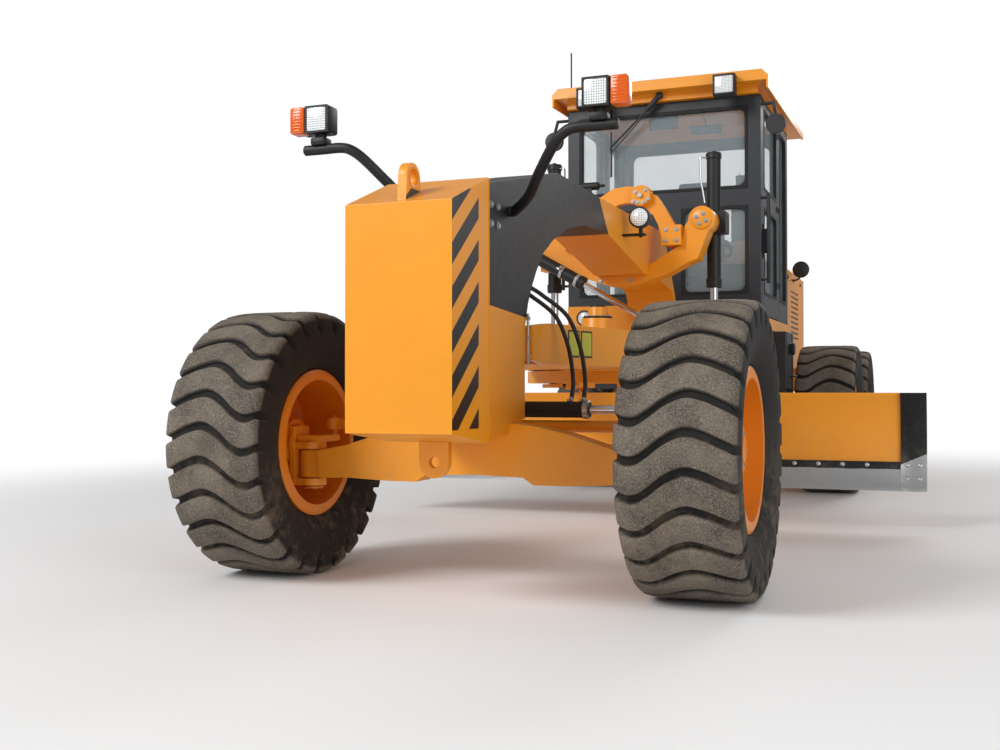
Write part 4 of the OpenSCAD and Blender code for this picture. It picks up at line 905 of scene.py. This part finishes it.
def wave(v):
    """How far up a bar is shifted, in metres, at v from the inner (0) to the outer edge (1) of the tread."""
    v = min(max(v, 0.0), 1.0)
    i = max(k for k in range(1, len(WAVE) - 2) if WAVE[k][0] <= v)
    a, b, c, d = (WAVE[k][1] for k in range(i - 1, i + 3))
    t = (v - WAVE[i][0]) / (WAVE[i + 1][0] - WAVE[i][0])
    return 0.5 * (2 * b + (c - a) * t + (2 * a - 5 * b + 4 * c - d) * t * t
                  + (3 * b - a - 3 * c + d) * t ** 3)


HALF = [(0.170, 0.3185), (0.1755, 0.326), (0.1765, 0.354), (0.185, 0.362), (0.197, 0.367), (0.205, 0.378),
        (0.2055, 0.386), (0.2135, 0.398), (0.225, 0.430), (0.235, 0.462), (0.2425, 0.505), (0.2445, 0.535),
        (0.2440, 0.575), (0.2405, 0.605), (0.233, 0.6205), (0.222, 0.6285), (0.190, 0.6345), (0.135, 0.6375),
        (0.07, 0.638), (0.0, 0.638)]
outline = [(-w, r) for w, r in HALF] + [(w, r) for w, r in reversed(HALF[:-1])]
lengths = [0.0]
for a, b in zip(outline, outline[1:]):
    lengths.append(lengths[-1] + math.dist(a, b))
rows = []
for j in range(ROWS + 1):
    s = lengths[-1] * j / ROWS
    i = min(max(k for k in range(len(lengths)) if lengths[k] <= s + 1e-9), len(outline) - 2)
    k = (s - lengths[i]) / (lengths[i + 1] - lengths[i])
    rows.append((outline[i][0] * (1 - k) + outline[i + 1][0] * k,
                 outline[i][1] * (1 - k) + outline[i + 1][1] * k))
tyre_verts, tyre_wear_and_groove_shade = [], []
for bar in range(BARS):
    for along, share in ACROSS:
        for j, (x, r) in enumerate(rows):
            before, after = rows[max(j - 1, 0)], rows[min(j + 1, ROWS)]
            dx, dr = after[0] - before[0], after[1] - before[1]
            size = math.hypot(dx, dr)
            v = (x + TYRE_HALF) / (2 * TYRE_HALF)
            fade = min(max((r - 0.530) / 0.045, 0.0), 1.0)
            depth = 0.026 * share * fade
            angle = (bar * PITCH + along + wave(v)) / TYRE_R
            rr, xx = r - depth * dx / size, x + depth * dr / size
            tyre_verts.append((xx, -rr * math.cos(angle), rr * math.sin(angle)))
            # 1 on the worn bar tops, falling to 0 down the groove walls as painted shade, and 0 on the side
            # walls.
            tread = min(max((r - 0.585) / 0.03, 0.0), 1.0)
            tyre_wear_and_groove_shade.append(tread * (1 - min(share, 1.0)))
n, columns = ROWS + 1, BARS * len(ACROSS)
tyre_faces = [(i * n + j, (i + 1) % columns * n + j, (i + 1) % columns * n + j + 1, i * n + j + 1)
              for i in range(columns) for j in range(ROWS)]
for axle in ("front", "mid", "rear"):
    for s, side in SIDES:
        dress(["tyre_%s_%s" % (axle, side)], tyre_rubber_groove_shade)
        low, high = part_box("tyre_%s_%s" % (axle, side))
        middle = (low + high) / 2
        spin = Matrix.Rotation({"front": 0.03, "mid": 0.11, "rear": 0.19}[axle], 3, "X")
        data = bpy.data.meshes.new("Tyre_%s_%s_look" % (axle, side))
        moved = [Vector((v[0] * s, *(spin @ Vector(v))[1:])) + middle for v in tyre_verts]
        data.from_pydata(moved, [], tyre_faces if s > 0 else [tuple(reversed(f)) for f in tyre_faces])
        data.attributes.new("wear_and_groove_shade", "FLOAT", "POINT").data.foreach_set("value", tyre_wear_and_groove_shade)
        data.materials.append(tyre_rubber_groove_shade)
        data.shade_smooth()
        data.set_sharp_from_angle(angle=math.radians(38))
        tyre = bpy.data.objects.new(data.name, data)
        bpy.context.scene.collection.objects.link(tyre)
        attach(tyre, "wheel_%s_%s" % (axle, side))
        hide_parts("tyre_%s_%s" % (axle, side))

# Drawbar: an A-shaped frame from the ball to the circle, with bolted shoes that hold the circle up. The
# circle's drive motor stands on it, fed by two hoses. Two blank yellow labels are stuck to its left side.
dress(["drawbar_ball"], worn_steel)
dress(["drawbar"], paint, 0.002)
motor_y, circle_y, shoe_top = 1.91, 2.4, 1.0472
motor, draw_bolts = Shape(), Shape()
motor.turned((0, motor_y, 1.330), Z, [(0.085, 0), (0.09, 0.004), (0.09, 0.014), (0.0602, 0.016)], 40)
motor.turned((0, motor_y, 1.400), Z, [(0, 0), (0.05, 0), (0.046, 0.008), (0, 0.008)], 32)
motor.block((-0.035, 1.955, 1.345), (0.035, 2.0, 1.395), 0.005)
motor.done("Circle_motor", black_paint, "blade_drawbar", "black")
for i in range(8):
    t = math.radians(45 * i + 22)
    draw_bolts.bolt((0.078 * math.cos(t), motor_y + 0.078 * math.sin(t), 1.344), Z, 0.007)
for x in (-0.018, 0.018):
    draw_bolts.rod((x, 2.0, 1.37), (x, 2.022, 1.37), 0.012, 6)
for a in (45, 135, 225, 315):
    t = math.radians(a)
    for r in (0.463, 0.489):
        for k in (-0.035, 0.035):
            draw_bolts.bolt((r * math.cos(t) - k * math.sin(t), circle_y + r * math.sin(t) + k * math.cos(t),
                             shoe_top), Z, 0.009)
for s, side in SIDES:
    for z in (1.06, 1.17):
        draw_bolts.bolt((s * 0.085, 0.2615, z - 0.005), FORE, 0.010)
draw_bolts.done("Drawbar_bolts", zinc, "blade_drawbar", "steel")
runs = Shape()
for x in (-0.018, 0.018):
    runs.tube([(x, 2.02, 1.37), (x, 2.06, 1.36), (x + 0.01, 2.12, 1.28), (x + 0.02, 2.16, 1.12),
               (x + 0.02, 2.20, 1.06)], 0.009, 10)
runs.done("Motor_hoses", hose_rubber, "blade_drawbar", "hose")
notes, note_edges = Shape(), Shape()
for y0, y1 in ((0.581, 0.685), (0.700, 0.806)):
    for shape, grow, out in ((note_edges, 0.0, 0.0015), (notes, -0.009, 0.0028)):
        a, b = y0 - grow, y1 + grow
        corner = [(0.162 + 0.2509 * (y - 0.27) + out, y - out * 0.25) for y in (a, b)]
        shape.slab([(*corner[0], 1.056 - grow), (*corner[1], 1.056 - grow), (*corner[1], 1.193 + grow),
                    (*corner[0], 1.193 + grow)], (-out - 0.0005, 0.0, 0))
notes.done("Blank_labels", material("Label_face", "#c2bd3c", 0.45, dust=0.3, vary=0.15), "blade_drawbar",
           "plastic")
note_edges.done("Label_edges", material("Label_edge", "#1e2a22", 0.4, dust=0.25), "blade_drawbar", "plastic")

# Circle and carrier: a toothed ring with two arms, and a carrier that tilts on pins at the arms' feet.
# Bolted caps hold the pins, and the side shift cylinder's gland shows at the carrier's end.
dress(["blade_circle"], paint)
dress(["blade_carrier"], paint, 0.002)
tilt_y, tilt_z, ram_y, ram_z = 3.025, 0.385, 2.99, 0.6
keepers = Shape()
for s, side in SIDES:
    keepers.turned((s * 0.4803, tilt_y, tilt_z), (s, 0, 0), [(0, 0), (0.042, 0), (0.042, 0.008),
                                                             (0.038, 0.011), (0, 0.011)], 32)
    for i in range(3):
        t = math.radians(120 * i + 30)
        keepers.bolt((s * 0.491, tilt_y + 0.026 * math.cos(t), tilt_z + 0.026 * math.sin(t)), (s, 0, 0),
                     0.007)
keepers.done("Tilt_pin_caps", zinc, "circle", "steel")
guides = Shape()
for s, side in SIDES:
    for z in (0.36, 0.70, 0.84):
        guides.bolt((s * 0.4253, 2.985, z + 0.02), (s, 0, 0), 0.009)
guides.turned((-0.74, ram_y, ram_z), IN_X, [(0.0, 0), (0.036, 0), (0.036, 0.02), (0.03, 0.024), (0, 0.024)],
              28)
guides.turned((0.38, ram_y, ram_z), X, [(0.031, 0), (0.037, 0.003), (0.037, 0.02), (0.03, 0.022)], 28)
guides.done("Carrier_bolts", zinc, "tilt_carrier", "steel")

# Blade: a curved steel plate on two slide bars. Plow bolts along a black painted strip hold its edge and
# its end bits, with nuts on the back.


def edge_pattern(where, xyz, normal):
    """The cutting edge is bare steel below a black painted strip; so are the end bits, on a slant."""
    x, y, z = xyz
    wide = x.size()
    bit = wide > 1.7255
    line = 0.383 + bit * ((wide - 1.7255) * 0.45 + 0.03)
    worn = noise(where, 9.0, 4.0)
    return mix(z + (worn - 0.5) * 0.012 > line, hex_colour("#9fa2a4"), hex_colour("#1b1c1e"))


edge_steel = material("Edge_steel", "#8d8f90", 0.4, dust=0.2, low_dust=0.25, vary=0.15, bump=0.3,
                      pattern=edge_pattern, metal=0.35)
dress(["moldboard"], paint, 0.0015)
dress(["cutting_edge"], edge_steel, 0.0015)
curve_y, curve_z, front_r, back_r, bolt_z = 2.3143, 0.586, 0.5694, 0.6079, 0.409
plow_head = [(0.015, -0.001), (0.014, 0.003), (0.008, 0.006), (0, 0.007)]
blade_bolts = Shape()


def on_blade(r, z):
    return curve_y + math.sqrt(r * r - (z - curve_z) ** 2)


for i in range(21):
    x = -1.52 + 0.152 * i
    y = on_blade(front_r, bolt_z)
    into = Vector((0, y - curve_y, bolt_z - curve_z)).normalized()
    blade_bolts.turned((x, y, bolt_z), -into, plow_head, 16)
    blade_bolts.stud((x, on_blade(back_r, bolt_z), bolt_z), into, 0.013)
for s, side in SIDES:
    for z in (0.33, 0.41):
        for x in (1.765, 1.842):
            y = on_blade(front_r, z)
            into = Vector((0, y - curve_y, z - curve_z)).normalized()
            blade_bolts.turned((s * x, y, z), -into, plow_head, 16)
            blade_bolts.stud((s * x, on_blade(back_r, z), z), into, 0.013)
blade_bolts.done("Blade_bolts", zinc, "blade", "steel")

# Lift cylinders: black barrels with a gland nut below, an end cap and two ports with hose ends. A bright
# pipe runs down the inner side, and a dark collar sits on the chromed rod.
dress(["lift_barrel_left", "lift_barrel_right"], black_paint)
dress(["lift_rod_left", "lift_rod_right"], chrome)
lift_y = 2.74
for s, side in SIDES:
    lift = Shape()
    x = s * 0.56
    lift.turned((x, lift_y, 1.583), Z, [(0.027, -0.012), (0.044, -0.012), (0.050, -0.008), (0.052, 0.02),
                                        (0.052, 0.045), (0.0455, 0.05)], 32)
    lift.turned((x, lift_y, 2.470), Z, [(0.0455, -0.04), (0.052, -0.036), (0.052, -0.004), (0.048, 0.002),
                                        (0, 0.004)], 32)
    lift.bolt((x, lift_y, 2.474), Z, 0.014)
    for z in (1.66, 2.40):
        lift.turned((x, lift_y + 0.044, z), Y, [(0.016, 0), (0.016, 0.016), (0, 0.016)], 6)
        lift.tube([(x, 2.798, z), (x, 2.815, z), (x, 2.822, z - 0.02 if z > 2 else z + 0.02),
                   (x, 2.822, z - 0.10 if z > 2 else z + 0.12)], 0.009, 10)
    lift.done("Lift_cylinder_fittings_" + side, black_paint, "lift_%s_barrel" % side, "black")
    line = Shape()
    line.tube([(x - s * 0.045, 2.72, 2.44), (x - s * 0.075, 2.71, 2.44), (x - s * 0.085, 2.71, 2.42),
               (x - s * 0.083, 2.715, 2.30), (x - s * 0.070, 2.72, 2.22), (x - s * 0.058, 2.725, 2.14)],
              0.006, 10)
    line.done("Lift_cylinder_pipe_" + side, chrome, "lift_%s_barrel" % side, "chrome")
    cap = Shape()
    cap.turned((x, lift_y, 1.20), Z, [(0.0402, 0.004), (0.044, 0.008), (0.044, 0.05), (0.0402, 0.054)], 28)
    cap.done("Lift_rod_collar_" + side, black_paint, "lift_%s_rod" % side, "black")

# Shift cylinder: it holds the drawbar sideways, from the saddle down to the drawbar's side. It has a
# gland, an end cap, and ports and a pipe under steel clamps.
dress(["shift_barrel"], black_paint)
dress(["shift_trunnion", "shift_piston"], worn_steel)
dress(["shift_rod"], chrome)
pin, eye_at = Vector((-0.52, 2.45, 1.75)), Vector((0.40, 2.45, 1.222))
run = (eye_at - pin).normalized()
shift = Shape()
shift.turned(pin + run * 0.27, run, [(0.0418, 0), (0.048, 0.003), (0.048, 0.034), (0.03, 0.038),
                                     (0.0205, 0.038)], 32)
shift.turned(pin - run * 0.67, run, [(0, -0.004), (0.04, -0.004), (0.047, 0.002), (0.047, 0.03),
                                     (0.0418, 0.034)], 32)
shift.done("Shift_cylinder_gland", black_paint, "shift_tube", "black")
pipes = Shape()
pipes.tube([(-0.385, 2.408, 1.70), (-0.40, 2.395, 1.715), (-0.414, 2.40, 1.70), (-0.43, 2.402, 1.712)], 0.008,
           10)
for a in (0.12, 0.24, -0.55):
    pipes.turned(pin + run * a, run, [(0.0418, 0), (0.0448, 0.001), (0.0448, 0.021), (0.0418, 0.022)], 32)
    pipes.bolt(pin + run * (a + 0.011) + Vector((0, -0.045, 0)), FORE, 0.008)
pipes.done("Shift_cylinder_clamps", zinc, "shift_tube", "steel")

# Frame bend cylinders: one at each side of the frame's joint, with a gland at the open end of each
# barrel and two ports.
dress(["bend_barrel_left", "bend_barrel_right"], black_paint)
dress(["bend_rod_left", "bend_rod_right"], chrome)
for s, side in SIDES:
    a, b = Vector((s * 0.47, 4.15, 1.04)), Vector((s * 0.40, 3.27, 1.04))
    run = (b - a).normalized()
    bend = Shape()
    bend.turned(a + run * 0.53, run, [(0.0398, 0), (0.046, 0.003), (0.046, 0.028), (0.03, 0.032),
                                      (0.0205, 0.032)], 32)
    for r in (0.10, 0.50):
        bend.turned(a + run * r + Vector((0, 0, 0.038)), Z, [(0.014, 0), (0.014, 0.014), (0, 0.014)], 6)
    bend.done("Bend_cylinder_gland_" + side, black_paint, "bend_%s_barrel" % side, "black")

# Studio: a plain pale floor that fades to white for the camera away from the machine, a white world and
# three soft lamps, with the camera where the photograph was taken from.
bpy.ops.mesh.primitive_plane_add(size=400, location=(0, 0, 0))
floor = bpy.context.object
floor.name = "Studio_floor"
pale = bpy.data.materials.new("Studio_white")
pale.use_nodes = True
Val.tree = pale.node_tree
floor_shader = pale.node_tree.nodes["Principled BSDF"]
floor_shader.inputs["Base Color"].default_value = (0.88, 0.88, 0.88, 1)
floor_shader.inputs["Roughness"].default_value = 0.9
where, (x, y, z) = place()
away = Val.math("SQRT", x * x + y * y * 0.6)
seen = Val.node("ShaderNodeLightPath", out=0)
white = pale.node_tree.nodes.new("ShaderNodeEmission")
white.inputs["Strength"].default_value = 1.0
both = Val.node("ShaderNodeMixShader", None, {0: away.ramp(3.8, 8.5) * seen})
pale.node_tree.links.new(floor_shader.outputs[0], both.socket.node.inputs[1])
pale.node_tree.links.new(white.outputs[0], both.socket.node.inputs[2])
pale.node_tree.links.new(both.socket, pale.node_tree.nodes["Material Output"].inputs["Surface"])
floor.data.materials.append(pale)
floor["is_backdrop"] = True

world = bpy.data.worlds.new("Studio")
bpy.context.scene.world = world
world.use_nodes = True
Val.tree = world.node_tree
backdrop = world.node_tree.nodes["Background"]
backdrop.inputs["Color"].default_value = (1, 1, 1, 1)
seen = Val.node("ShaderNodeLightPath", out=0)
Val.put(backdrop.inputs["Strength"], 0.36 + seen * 0.66)

for name, spot, aim, size, power in (("Key", (-7.0, -13.0, 9.0), (0, -2, 1.0), 6.0, 1280.0),
                                     ("Fill", (10.0, -10.0, 5.0), (0, -1, 1.0), 8.0, 480.0),
                                     ("Back", (3.0, 12.0, 9.0), (0, 0, 1.5), 7.0, 700.0)):
    data = bpy.data.lights.new(name, "AREA")
    data.size = size
    data.energy = power
    lamp = bpy.data.objects.new(name, data)
    lamp.location = spot
    lamp.rotation_euler = (Vector(aim) - Vector(spot)).to_track_quat("-Z", "Y").to_euler()
    bpy.context.scene.collection.objects.link(lamp)

eye = bpy.data.cameras.new("Camera")
eye.sensor_width = 36.0
eye.lens = 41.352
camera = bpy.data.objects.new("Camera", eye)
bpy.context.scene.collection.objects.link(camera)
camera.location = (2.024, -8.652, 0.892)
turn, rise, roll = math.radians(21.417), math.radians(0.742), math.radians(-0.041)
ahead = Vector((-math.sin(turn) * math.cos(rise), math.cos(turn) * math.cos(rise), math.sin(rise)))
camera.rotation_mode = "QUATERNION"
camera.rotation_quaternion = ahead.to_track_quat("-Z", "Y") @ Matrix.Rotation(roll, 3, "Z").to_quaternion()
eye.clip_start, eye.clip_end = 0.1, 400.0
bpy.context.scene.camera = camera
bpy.context.scene.view_settings.view_transform = "Standard"

low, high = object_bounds()
